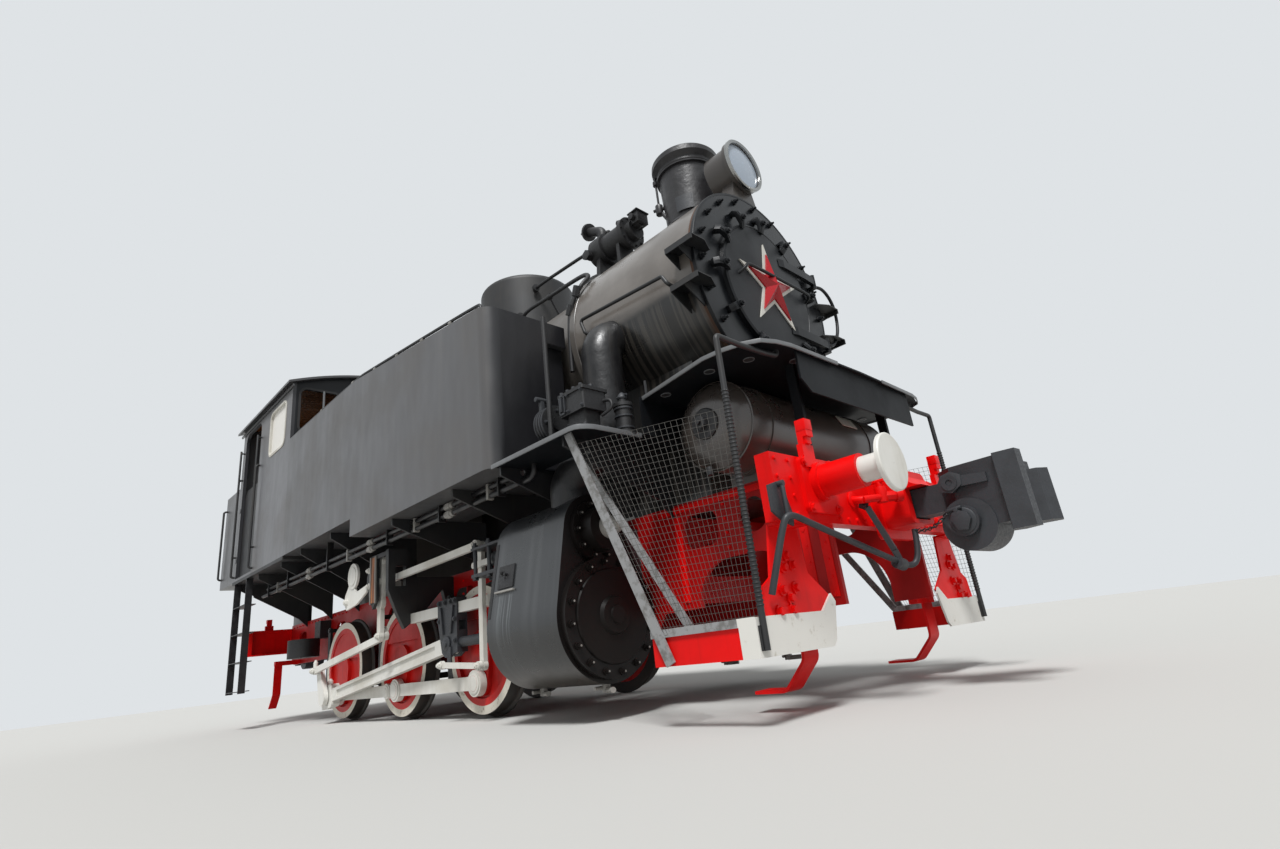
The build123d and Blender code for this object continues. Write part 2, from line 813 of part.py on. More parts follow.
# Side tanks: full height behind, sloping down to the front, lower skirt ahead
LID_X = -500
LID_Y = 1180
LID_NECK_R = 210
LID_R = 235
LID_Z = TANK_TOP + 70
LID_HINGE_Y = LID_Y - LID_R - 25
LID_HINGE_Z = LID_Z + 12
with BuildPart() as side_tanks:
    with BuildSketch(side(SIDE_Y)):
        with BuildLine():
            Polyline(
                (CAB_FRONT, FLOOR_Z),
                (150, FLOOR_Z),
                (150, TANK_SKIRT),
                (TANK_FRONT, TANK_SKIRT),
                (TANK_FRONT, 2975),
                (170, TANK_TOP),
                (CAB_FRONT, TANK_TOP),
                close=True,
            )
        make_face()
    extrude(amount=SIDE_Y - TANK_IN)
    uprights = side_tanks.edges().filter_by(Axis.Z).sort_by(Axis.X)[-2:]
    fillet(uprights.sort_by(Axis.Y)[-1], 120)
    with BuildSketch(cross(TANK_FRONT)):
        with Locations((835, 2430)):
            RectangleRounded(390, 720, 60)
    extrude(amount=-60, mode=Mode.SUBTRACT)
    with BuildSketch(level(TANK_TOP - 100)):
        with Locations((LID_X, LID_Y)):
            Circle(LID_NECK_R)
    extrude(amount=LID_Z - TANK_TOP + 100)
    for shift in (-90, 60):
        with BuildSketch(cross(LID_X + shift)):
            with Locations((LID_HINGE_Y, (TANK_TOP + LID_HINGE_Z) / 2)):
                Rectangle(36, LID_HINGE_Z - TANK_TOP)
            with Locations((LID_HINGE_Y, LID_HINGE_Z)):
                Circle(18)
        extrude(amount=30)
    with BuildSketch(cross(LID_X - 90)):
        with Locations((LID_HINGE_Y, LID_HINGE_Z)):
            Circle(8)
    extrude(amount=180)
    mirror(about=Plane.XZ)
save(side_tanks, "side_tanks")

# Filler lids, each hinged on the side next to the boiler
for name, sign, angle in SIDES:
    with BuildPart() as lid:
        with BuildSketch(level(LID_Z + 1)):
            with Locations((LID_X, sign * LID_Y)):
                Circle(LID_R)
        extrude(amount=24)
        with BuildSketch(level(LID_Z + 25)):
            with Locations((LID_X, sign * LID_Y)):
                Circle(60)
        extrude(amount=12)
        with BuildSketch(cross(LID_X - 52)):
            with Locations((sign * LID_HINGE_Y, LID_HINGE_Z)):
                Circle(16)
            with Locations((sign * (LID_HINGE_Y + 30), LID_HINGE_Z + 1)):
                Rectangle(60, 22)
        extrude(amount=104)
        with BuildSketch(cross(LID_X - 53)):
            with Locations((sign * LID_HINGE_Y, LID_HINGE_Z)):
                Circle(8.5)
        extrude(amount=106, mode=Mode.SUBTRACT)
    save(lid, f"{name}_filler_lid")

# Cab front wall with two windows, cut round the boiler
WINDOW_FRONT = (1215, 3700, 500, 600, 90)
SIDE_WINDOW = (-2370, 3600, 620, 600, 90)
DOORWAY = (-3475, 730, 3960)
arch_radius = (ROOF_EDGE[0] ** 2 + (ROOF_CROWN - ROOF_EDGE[1]) ** 2) / (2 * (ROOF_CROWN - ROOF_EDGE[1]))


def arch_z(y):
    """Height of the roof's underside at y."""
    return ROOF_CROWN - arch_radius + sqrt(arch_radius**2 - y**2)


def end_wall_outline():
    """Outline of an end wall under the roof arch, as Y, Z lines."""
    half = SIDE_Y - WALL
    Line((-half, FLOOR_Z), (half, FLOOR_Z))
    Line((half, FLOOR_Z), (half, arch_z(half)))
    ThreePointArc((half, arch_z(half)), (0, ROOF_CROWN), (-half, arch_z(half)))
    Line((-half, arch_z(half)), (-half, FLOOR_Z))


with BuildPart() as cab_front:
    with BuildSketch(cross(CAB_FRONT - WALL)):
        with BuildLine():
            end_wall_outline()
        make_face()
        with Locations((0, BOILER_Z)):
            Circle(BOILER_R, mode=Mode.SUBTRACT)
        with Locations((0, (FLOOR_Z + BOILER_Z) / 2)):
            Rectangle(2 * FIREBOX_HALF, BOILER_Z - FLOOR_Z, mode=Mode.SUBTRACT)
        y, z, width, height, corner = WINDOW_FRONT
        with Locations((-y, z), (y, z)):
            RectangleRounded(width, height, corner, mode=Mode.SUBTRACT)
    extrude(amount=WALL)
save(cab_front, "cab_front")

# Cab rear wall, above the bunker with two windows
with BuildPart() as cab_rear:
    with BuildSketch(cross(CAB_REAR)):
        with BuildLine():
            end_wall_outline()
        make_face()
        with Locations((-760, 3640), (760, 3640)):
            RectangleRounded(620, 520, 90, mode=Mode.SUBTRACT)
    extrude(amount=WALL)
save(cab_rear, "cab_rear")

# Cab sides with a fixed window and the doorway
with BuildPart() as cab_sides:
    with BuildSketch(cross(CAB_REAR)):
        with BuildLine():
            Polyline(
                (SIDE_Y - WALL, FLOOR_Z),
                (SIDE_Y, FLOOR_Z),
                (SIDE_Y, arch_z(SIDE_Y)),
                (SIDE_Y - WALL, arch_z(SIDE_Y - WALL)),
                close=True,
            )
        make_face()
    extrude(amount=CAB_FRONT - CAB_REAR)
    with BuildSketch(side(SIDE_Y + 1)):
        x, z, width, height, corner = SIDE_WINDOW
        with Locations((x, z)):
            RectangleRounded(width, height, corner)
        x, width, top = DOORWAY
        with Locations((x, (top + FLOOR_Z + 30) / 2)):
            RectangleRounded(width, top - FLOOR_Z - 30, 130)
        with Locations((x, FLOOR_Z + 200)):
            Rectangle(width, 340)
    extrude(amount=WALL + 2, mode=Mode.SUBTRACT)
    for z in (2150, 2850):
        for shift in (-52, 32):
            with BuildSketch(level(z + shift)):
                with Locations((DOORWAY[0] - DOORWAY[1] / 2 - 35, SIDE_Y - WALL - 12)):
                    Rectangle(24, 24)
                with Locations((DOORWAY[0] - DOORWAY[1] / 2 - 35, SIDE_Y - WALL - 20)):
                    Circle(14)
            extrude(amount=20)
        with BuildSketch(level(z - 52)):
            with Locations((DOORWAY[0] - DOORWAY[1] / 2 - 35, SIDE_Y - WALL - 20)):
                Circle(7)
        extrude(amount=104)
    mirror(about=Plane.XZ)
save(cab_sides, "cab_sides")

# Lower door leaves, closing against the inside of the doorways
LEAF_T = 24
LEAF_LOW = FLOOR_Z + 12
LEAF_HIGH = 3120
leaf_hinge = (DOORWAY[0] - DOORWAY[1] / 2 - 35, SIDE_Y - WALL - 20)
for name, sign, angle in SIDES:
    with BuildPart() as leaf:
        plane, depth = near(sign, SIDE_Y - WALL - 4 - LEAF_T, SIDE_Y - WALL - 4)
        with BuildSketch(plane):
            with BuildLine():
                low_x = leaf_hinge[0] + 22
                high_x = DOORWAY[0] + DOORWAY[1] / 2 + 20
                Polyline(
                    (low_x, LEAF_HIGH - 90),
                    (low_x, LEAF_LOW),
                    (high_x, LEAF_LOW),
                    (high_x, LEAF_HIGH - 90),
                    (high_x - 90, LEAF_HIGH),
                    (low_x + 90, LEAF_HIGH),
                    close=True,
                )
            make_face()
        extrude(amount=depth)
        for z in (2150, 2850):
            with BuildSketch(level(z - 28)):
                with Locations((leaf_hinge[0], sign * leaf_hinge[1])):
                    Circle(14)
                with Locations((leaf_hinge[0] + 20, sign * leaf_hinge[1])):
                    Rectangle(40, 14)
            extrude(amount=56)
            with BuildSketch(level(z - 29)):
                with Locations((leaf_hinge[0], sign * leaf_hinge[1])):
                    Circle(7.5)
            extrude(amount=58, mode=Mode.SUBTRACT)
    save(leaf, f"{name}_cab_door")

# Arched roof with a rain lip
with BuildPart() as cab_roof:
    with BuildSketch(cross(-4060)):
        with BuildLine():
            Line((-ROOF_EDGE[0], ROOF_EDGE[1]), (-ROOF_EDGE[0], ROOF_EDGE[1] + ROOF_T))
            ThreePointArc(
                (-ROOF_EDGE[0], ROOF_EDGE[1] + ROOF_T),
                (0, ROOF_CROWN + ROOF_T),
                (ROOF_EDGE[0], ROOF_EDGE[1] + ROOF_T),
            )
            Line((ROOF_EDGE[0], ROOF_EDGE[1] + ROOF_T), ROOF_EDGE)
            ThreePointArc(ROOF_EDGE, (0, ROOF_CROWN), (-ROOF_EDGE[0], ROOF_EDGE[1]))
        make_face()
    extrude(amount=2290)
save(cab_roof, "cab_roof")

# Cab floor round the firebox
with BuildPart() as cab_floor:
    with BuildSketch(level(FLOOR_Z - 40)):
        with Locations(((CAB_REAR + CAB_FRONT) / 2, 0)):
            Rectangle(CAB_FRONT - CAB_REAR, 2 * SIDE_Y)
        with Locations(((BACKHEAD_X + CAB_FRONT) / 2, 0)):
            Rectangle(CAB_FRONT - BACKHEAD_X, 2 * FIREBOX_HALF, mode=Mode.SUBTRACT)
    extrude(amount=40)
save(cab_floor, "cab_floor")

# Coal bunker behind the cab, open above, with a sloping bottom
with BuildPart() as coal_bunker:
    with BuildSketch(side(SIDE_Y)):
        with BuildLine():
            Polyline(
                (CAB_REAR, FLOOR_Z - 10),
                (BUNKER_REAR, FLOOR_Z - 10),
                (BUNKER_REAR, BUNKER_TOP),
                (CAB_REAR, BUNKER_TOP),
                close=True,
            )
        make_face()
    extrude(amount=2 * SIDE_Y)
    with BuildSketch(side(SIDE_Y - 20)):
        with BuildLine():
            Polyline(
                (CAB_REAR - 20, FLOOR_Z + 60),
                (BUNKER_REAR + 20, FLOOR_Z + 420),
                (BUNKER_REAR + 20, BUNKER_TOP + 1),
                (CAB_REAR - 20, BUNKER_TOP + 1),
                close=True,
            )
        make_face()
    extrude(amount=2 * SIDE_Y - 40, mode=Mode.SUBTRACT)
    with BuildSketch(level(FRAME_TOP)):
        for y in (-FRAME_OUT + 60, FRAME_OUT - 60):
            with Locations(((CAB_REAR + BUNKER_REAR) / 2, y)):
                Rectangle(500, 90)
    extrude(amount=FLOOR_Z - 10 - FRAME_TOP)
save(coal_bunker, "coal_bunker")

# Cylinders with their valve chests in one lagged casing
with BuildPart() as cylinders:
    with BuildSketch(cross(CYL_REAR)):
        with Locations((CYL_Y, CYL_Z)):
            Circle(CYL_R)
        with Locations((CHEST_Y, CHEST_Z)):
            Circle(CHEST_R)
        make_hull()
    extrude(amount=CYL_FRONT - CYL_REAR)
    with BuildSketch(cross(CYL_REAR + 60)):
        with Locations(((FRAME_OUT + CYL_Y) / 2, 870)):
            Rectangle(CYL_Y - FRAME_OUT, 700)
    extrude(amount=CYL_FRONT - CYL_REAR - 120)
    for y, z, sizes in (
        (CYL_Y, CYL_Z, ((385, 50), (110, 30))),
        (CHEST_Y, CHEST_Z, ((205, 40), (150, 110))),
    ):
        start = CYL_FRONT
        for radius, length in sizes:
            with BuildSketch(cross(start)):
                with Locations((y, z)):
                    Circle(radius)
            extrude(amount=length)
            start += length
    for y, z, sizes in (
        (CYL_Y, CYL_Z, ((330, 40), (95, 90))),
        (CHEST_Y + 80, CHEST_Z, ((110, 60), (60, 220))),
    ):
        start = CYL_REAR
        for radius, length in sizes:
            with BuildSketch(cross(start - length)):
                with Locations((y, z)):
                    Circle(radius)
            extrude(amount=length)
            start -= length
    mirror(about=Plane.XZ)
save(cylinders, "cylinders")

# Crossheads and piston rods, hung from the slide bars
SLIDE_Z = 905
SLIDE_H = 90
SLIDE_W = 68
UNION_ARM = (49, 454)
CHEEKS = ((951.5, 962), (1033, 1050))
with BuildPart() as slide_bars:
    with BuildSketch(side(-CYL_Y + SLIDE_W / 2)):
        with Locations(((330 + CYL_REAR - 80) / 2, SLIDE_Z)):
            Rectangle(CYL_REAR - 80 - 330, SLIDE_H)
    extrude(amount=SLIDE_W)
    with BuildSketch(cross(CYL_REAR - 80)):
        with Locations((-CYL_Y, SLIDE_Z)):
            Rectangle(100, 150)
    extrude(amount=40)
    mirror(about=Plane.XZ)
save(slide_bars, "slide_bars")

with BuildPart() as crossheads:
    for name, sign, angle in SIDES:
        x = crosshead_x(angle)
        low = SLIDE_Z - SLIDE_H / 2 - 60
        high = SLIDE_Z + SLIDE_H / 2 + 40
        plane, depth = near(sign, CHEEKS[0][0], CHEEKS[1][1])
        with BuildSketch(plane):
            with Locations((x + 5, (low + high) / 2)):
                Rectangle(330, high - low)
            with Locations((x + 5, SLIDE_Z)):
                Rectangle(340, SLIDE_H, mode=Mode.SUBTRACT)
            with Locations((x + 135, CYL_Z + 10)):
                Rectangle(70, 180)
        extrude(amount=depth)
        for inner, outer in CHEEKS:
            plane, depth = near(sign, inner, outer)
            with BuildSketch(plane):
                with BuildLine():
                    Polyline(
                        (x - 160, high),
                        (x - 160, low),
                        (x - 95, CYL_Z - 70),
                        (x - 40, CYL_Z - 110),
                        (x + 60, CYL_Z - 110),
                        (x + 170, CYL_Z - 60),
                        (x + 170, high),
                        close=True,
                    )
                make_face()
            extrude(amount=depth)
        plane, depth = near(sign, CHEEKS[0][0], CHEEKS[1][1] + 6)
        with BuildSketch(plane):
            with Locations((x, CYL_Z)):
                Circle(44.9)
        extrude(amount=depth)
        plane, depth = near(sign, CHEEKS[1][1], CHEEKS[1][1] + 14)
        with BuildSketch(plane):
            with Locations((x + UNION_ARM[0], UNION_ARM[1])):
                Circle(30)
            with Locations((x + UNION_ARM[0], UNION_ARM[1] + 70)):
                Rectangle(60, 140)
        extrude(amount=depth)
        with BuildSketch(cross(x + 170)):
            with Locations((sign * CYL_Y, CYL_Z)):
                Circle(42)
        extrude(amount=CYL_REAR - 130 - x - 170)
save(crossheads, "crossheads")

# Motion brackets: plates from the frame that carry the slide bars and the links
LINK_X = 0
LINK_Z = 1300
with BuildPart() as motion_brackets:
    with BuildSketch(cross(270)):
        with BuildLine():
            Polyline(
                (FRAME_OUT, 700),
                (FRAME_OUT, 1290),
                (1060, 1290),
                (1060, 1560),
                (1250, 1560),
                (1250, 1180),
                (1160, 960),
                (1090, 820),
                (900, 960),
                (700, 1170),
                close=True,
            )
        make_face()
        with Locations((1130, 1305)):
            Rectangle(100, 190, mode=Mode.SUBTRACT)
    extrude(amount=60)
    with BuildSketch(side(1250)):
        with BuildLine():
            Polyline(
                (LINK_X - 160, LINK_Z + 60),
                (LINK_X - 60, LINK_Z + 250),
                (270, LINK_Z + 250),
                (270, LINK_Z + 210),
                (LINK_X + 60, LINK_Z + 210),
                (LINK_X + 60, LINK_Z - 180),
                (LINK_X - 20, LINK_Z - 260),
                (LINK_X - 160, LINK_Z - 60),
                close=True,
            )
        make_face()
    extrude(amount=30)
    mirror(about=Plane.XZ)
save(motion_brackets, "motion_brackets")

# Valve gear of each side: eccentric rod, link, radius rod, combination lever and union link
LINK_FOOT = (0, 790)
LEVER_TOP = (1710, 1335)
LEVER_FOOT_Z = 415
UNION_REACH = 587
foot_reach = sqrt((LINK_FOOT[0] - return_pin(270)[0]) ** 2 + (LINK_FOOT[1] - return_pin(270)[1]) ** 2)
with BuildPart() as valve_gear:
    for name, sign, angle in SIDES:
        eye = return_pin(angle)
        foot = (eye[0] + sqrt(foot_reach**2 - (LINK_FOOT[1] - eye[1]) ** 2), LINK_FOOT[1])
        arm = (crosshead_x(angle) + UNION_ARM[0], UNION_ARM[1])
        lever_foot = (arm[0] + UNION_REACH, LEVER_FOOT_Z)
        share = (LEVER_TOP[1] - CHEST_Z) / (LEVER_TOP[1] - LEVER_FOOT_Z)
        spindle = (LEVER_TOP[0] + share * (lever_foot[0] - LEVER_TOP[0]), CHEST_Z)
        trunnion = (LINK_X, LINK_Z)
        links = (
            # start, finish, eye radius, half height, inner y, outer y
            (eye, foot, 42, 33, GEAR_INNER, GEAR_OUTER),
            (foot, (LINK_X, LINK_Z - 200), 44, 38, 1156, 1196),
            ((LINK_X, LINK_Z - 200), (LINK_X, LINK_Z + 200), 72, 62, 1156, 1196),
            (trunnion, LEVER_TOP, 45, 30, 1112, 1148),
            (LEVER_TOP, lever_foot, 38, 28, 1068, 1104),
            (arm, lever_foot, 34, 22, 1112, 1140),
            ((spindle[0] - 30, CHEST_Z), (1960, CHEST_Z), 24, 24, 1112, 1148),
        )
        for radius, inner, outer, place in (
            (PIN_R, MAIN_INNER, ARM_INNER, crank_pin("rear", angle)),
            (22, ARM_INNER, GEAR_OUTER + 14, eye),
        ):
            plane, depth = near(sign, inner, outer)
            with BuildSketch(plane):
                with Locations(place):
                    Circle(radius)
            extrude(amount=depth)
        plane, depth = near(sign, ARM_INNER, ARM_OUTER)
        with BuildSketch(plane):
            with Locations(crank_pin("rear", angle)):
                Circle(88)
            with Locations(eye):
                Circle(52)
            make_hull()
        extrude(amount=depth)
        for start, finish, end, half, inner, outer in links:
            tilt = degrees(atan2(finish[1] - start[1], finish[0] - start[0]))
            reach = sqrt((finish[0] - start[0]) ** 2 + (finish[1] - start[1]) ** 2)
            plane, depth = near(sign, inner, outer)
            with BuildSketch(plane):
                with Locations(start, finish):
                    Circle(end)
                with Locations(Location(((start[0] + finish[0]) / 2, (start[1] + finish[1]) / 2), tilt)):
                    Rectangle(reach, 2 * half)
            extrude(amount=depth)
        pins = (
            # place, radius, inner y, outer y
            (foot, 22, GEAR_INNER - 4, 1202),
            (trunnion, 40, 1108, 1220),
            (LEVER_TOP, 20, 1064, 1152),
            (lever_foot, 18, 1064, 1146),
            (spindle, 18, 1064, 1152),
            (arm, 18, 1064.5, 1146),
        )
        for place, radius, inner, outer in pins:
            plane, depth = near(sign, inner, outer)
            with BuildSketch(plane):
                with Locations(place):
                    Circle(radius)
            extrude(amount=depth)
        with BuildSketch(cross(1960)):
            with Locations((sign * (CHEST_Y + 80), CHEST_Z)):
                Circle(26)
        extrude(amount=40)
save(valve_gear, "valve_gear")

# Steam pipes down to the valve chests, and the long pipes under the tanks
STEAM_PIPE_X = 3175
STEAM_PIPE_R = 150
STEAM_ROUTE = (
    (STEAM_PIPE_X, 640, 2700),
    (STEAM_PIPE_X, 900, 2570),
    (STEAM_PIPE_X, 900, 1880),
    (2880, CHEST_Y, 1560),
    (2880, CHEST_Y, 1350),
)
PIPE_HANGERS = (
    # x, top z
    (-3050, FLOOR_Z - 40),
    (-2300, FLOOR_Z - 40),
    (-1000, FLOOR_Z),
    (500, TANK_SKIRT),
    (1500, TANK_SKIRT),
    (2400, TANK_SKIRT),
)
with BuildPart() as pipes:
    add(round_bar(STEAM_ROUTE, STEAM_PIPE_R, 190))
    for start, finish, y, z, radius in (
        (SMOKE_REAR, SMOKE_FRONT, 0, BOILER_Z, SMOKE_R),
        (CYL_REAR, CYL_FRONT, CHEST_Y, CHEST_Z, CHEST_R),
    ):
        with BuildSketch(cross(start)):
            with Locations((y, z)):
                Circle(radius)
        extrude(amount=finish - start, mode=Mode.SUBTRACT)
    lower, upper = SIDE_PIPES
    route = ((-3350, SIDE_PIPE_Y, lower), (2830, SIDE_PIPE_Y, lower), (2830, SIDE_PIPE_Y, TANK_SKIRT - 12))
    add(round_bar(route, SIDE_PIPE_R, 60))
    add(round_bar(((-3150, SIDE_PIPE_Y, upper), (2600, SIDE_PIPE_Y, upper)), SIDE_PIPE_R, 60))
    for x, top in PIPE_HANGERS:
        with BuildSketch(cross(x)):
            with Locations((SIDE_PIPE_Y, (SIDE_PIPES[0] - 40 + top) / 2)):
                Rectangle(66, top - SIDE_PIPES[0] + 40)
        extrude(amount=16)
    mirror(about=Plane.XZ)
save(pipes, "pipes")

# Front deck round the saddle, its apron plate and posts, and the side platforms
DECK_Z = 1948
with BuildPart() as front_deck:
    with BuildSketch(level(DECK_Z - 12)):
        with BuildLine():
            Polyline(
                (3622, 1011),
                (4270, 1130),
                (4518, 1087),
                (4611, 1025),
                (4667, 810),
                (4680, 0),
                (SADDLE_FRONT + 5, 0),
                (SADDLE_FRONT + 5, FRAME_OUT + 5),
                (3622, FRAME_OUT + 5),
                close=True,
            )
        make_face()
        mirror(about=Plane.XZ)
    extrude(amount=12)
    with BuildSketch(cross(4640)):
        with BuildLine():
            Polyline(
                (-735, DECK_Z - 12),
                (-735, 1760),
                (-640, 1690),
                (735, 1690),
                (735, DECK_Z - 12),
                close=True,
            )
        make_face()
    extrude(amount=12)
    with BuildSketch(level(FRAME_TOP)):
        for y in (-565, 565):
            with Locations((4500, y)):
                Rectangle(60, 30)
    extrude(amount=DECK_Z - 12 - FRAME_TOP)
    for y in (-1, 1):
        with BuildSketch(level(TANK_SKIRT - 12)):
            with BuildLine():
                Polyline(
                    (TANK_FRONT + 5, y * (FRAME_OUT + 5)),
                    (TANK_FRONT + 5, y * SIDE_Y),
                    (3520, y * SIDE_Y),
                    (3585, y * (SIDE_Y - 30)),
                    (3620, y * (SIDE_Y - 110)),
                    (3620, y * (FRAME_OUT + 5)),
                    close=True,
                )
            make_face()
            with Locations((3050, y * 930)):
                Rectangle(620, 470, mode=Mode.SUBTRACT)
        extrude(amount=12)
        with BuildSketch(cross(3640)):
            with Locations((y * 820, (DECK_Z - 12 + TANK_SKIRT) / 2)):
                Rectangle(440, DECK_Z - 12 - TANK_SKIRT + 24)
        extrude(amount=12)
        with BuildSketch(level(TANK_SKIRT - 12)):
            with Locations((3630, y * 820)):
                Rectangle(44, 440)
        extrude(amount=12)
save(front_deck, "front_deck")

# Air reservoir across the frame in two cradles
with BuildPart() as air_reservoir:
    with BuildSketch(Plane.YZ.offset(4080)):
        with BuildLine():
            Line((-950, 1630), (950, 1630))
            Line((950, 1630), (950, 1690))
            ThreePointArc((950, 1690), (905, 1850), (840, 1910))
            Line((840, 1910), (-840, 1910))
            ThreePointArc((-840, 1910), (-905, 1850), (-950, 1690))
            Line((-950, 1690), (-950, 1630))
        make_face()
    revolve(axis=Axis((4080, 0, 1630), (0, 1, 0)))
    with BuildSketch(level(FRAME_TOP)):
        for y in (-565, 565):
            with Locations((4080, y)):
                Rectangle(300, 30)
    extrude(amount=150)
save(air_reservoir, "air_reservoir")

# Steps: white front plates with their strips and stays, ladders under the cab doors
PLATE_X = 4529
PLATE_LOW = 300
PLATE_HIGH = 478
FRONT_SIDE = 1390
STRIP_REAR = 3860
CAB_STEPS = (450, 800, 1150, 1500)
with BuildPart() as steps:
    with BuildSketch(cross(PLATE_X)):
        with BuildLine():
            Polyline(
                (672, 520),
                (705, 562),
                (815, PLATE_HIGH),
                (FRONT_SIDE + 12, PLATE_HIGH),
                (FRONT_SIDE + 12, PLATE_LOW),
                (770, PLATE_LOW),
                (735, 330),
                close=True,
            )
        make_face()
    extrude(amount=12)
    with BuildSketch(side(FRONT_SIDE + 12)):
        with Locations((PLATE_X - 40, (PLATE_LOW + PLATE_HIGH) / 2)):
            Rectangle(104, PLATE_HIGH - PLATE_LOW)
        with Locations(((STRIP_REAR + PLATE_X) / 2, 460)):
            Rectangle(PLATE_X - STRIP_REAR, 40)
    extrude(amount=12)
    add(flat_bar((3440, 1500, TANK_SKIRT), (3980, FRONT_SIDE + 8, 308), 60, 14))
    add(flat_bar((3151, 1200, TANK_SKIRT), (3970, 1200, 462), 50, 12))
    with BuildSketch(cross(3964)):
        with Locations(((1180 + FRONT_SIDE) / 2, 460)):
            Rectangle(FRONT_SIDE - 1180, 40)
    extrude(amount=12)
    with BuildSketch(level(TANK_SKIRT - 12)):
        with Locations((3300, 1360)):
            Rectangle(500, 420)
    extrude(amount=60, mode=Mode.SUBTRACT)
    for x in (-3855, -3305):
        with BuildSketch(cross(x)):
            with Locations((1505, (FLOOR_Z - 40 + 430) / 2)):
                Rectangle(80, FLOOR_Z - 40 - 430)
        extrude(amount=14)
    for z in CAB_STEPS:
        with BuildSketch(level(z)):
            with Locations((-3573, 1480)):
                Rectangle(564, 130)
        extrude(amount=10)
    mirror(about=Plane.XZ)
save(steps, "steps")

# Rail guards: bent shoes ahead of the outer wheels, red gusset faces and side plates
GUARDS = (
    # y, width, bracket x, low z of the bracket, runs of the strip as X and Z
    (790, 140, 4400, 470, ((4400, 530), (4400, 250), (4260, 105), (4060, 105))),
    (850, 100, -4160, 740, ((-4160, 800), (-4175, 360), (-4320, 190))),
)
with BuildPart() as rail_guards:
    for y, width, x, low, runs in GUARDS:
        add(strip([(run_x, y, run_z) for run_x, run_z in runs], width, 16, 60))
        with BuildSketch(cross(x - 30)):
            with Locations(((FRAME_OUT + y + width / 2) / 2, low + 30)):
                Rectangle(y + width / 2 - FRAME_OUT, 60)
        extrude(amount=60)
    with BuildSketch(cross(PLATE_X - 14)):
        with BuildLine():
            Polyline(
                (690, 545),
                (870, 672),
                (900, BEAM_LOW),
                (1150, BEAM_LOW),
                (1210, 655),
                (1290, 610),
                (1310, 476),
                (790, 458),
                close=True,
            )
        make_face()
    extrude(amount=14)
    with BuildSketch(level(BEAM_LOW - 12)):
        with Locations((PLATE_X + 30, 1025)):
            Rectangle(90, 250)
    extrude(amount=12)
    with BuildSketch(side(FRONT_SIDE)):
        with Locations(((STRIP_REAR + 4500) / 2, 370)):
            Rectangle(4500 - STRIP_REAR, 140)
    extrude(amount=12)
    mirror(about=Plane.XZ)
save(rail_guards, "rail_guards")

# Lubricators on the right platform: ratchet drum, box on a casting, pot and tall rod
DRUM_Y = -1330
DRUM_Z = 1880
BOX_AT = (3455, -1365)
BOX_TIERS = (
    # low, high, length, width
    (0, 18, 250, 210),
    (18, 130, 170, 130),
    (130, 258, 236, 196),
    (258, 280, 256, 216),
)
POT_AT = (3556, -1112)
with BuildPart() as lubricators:
    with BuildSketch(cross(3050)):
        with Locations((DRUM_Y, DRUM_Z)):
            Circle(128)
    extrude(amount=90)
    with BuildSketch(cross(3020)):
        with Locations((DRUM_Y, DRUM_Z)):
            Circle(52)
    extrude(amount=140)
    with BuildSketch(cross(3065)):
        with Locations((DRUM_Y, (TANK_SKIRT + DRUM_Z) / 2)):
            Rectangle(150, DRUM_Z - TANK_SKIRT)
    extrude(amount=60)
    with BuildSketch(cross(3020)):
        with Locations(Location((DRUM_Y + 60, DRUM_Z + 70), 50)):
            RectangleRounded(230, 44, 20)
    extrude(amount=22)
    for low, high, long, wide in BOX_TIERS:
        with BuildSketch(level(TANK_SKIRT + low)):
            with Locations(BOX_AT):
                RectangleRounded(long, wide, 16)
        extrude(amount=high - low)
    for low, high, radius in ((0, 16, 78), (16, 190, 56), (190, 214, 66), (214, 250, 26)):
        with BuildSketch(level(TANK_SKIRT + low)):
            with Locations(POT_AT):
                Circle(radius)
        extrude(amount=high - low)
    for low, high, radius in ((0, 20, 48), (20, 910, 16)):
        with BuildSketch(level(TANK_SKIRT + low)):
            with Locations((3230, -1460)):
                Circle(radius)
        extrude(amount=high - low)
save(lubricators, "lubricators")

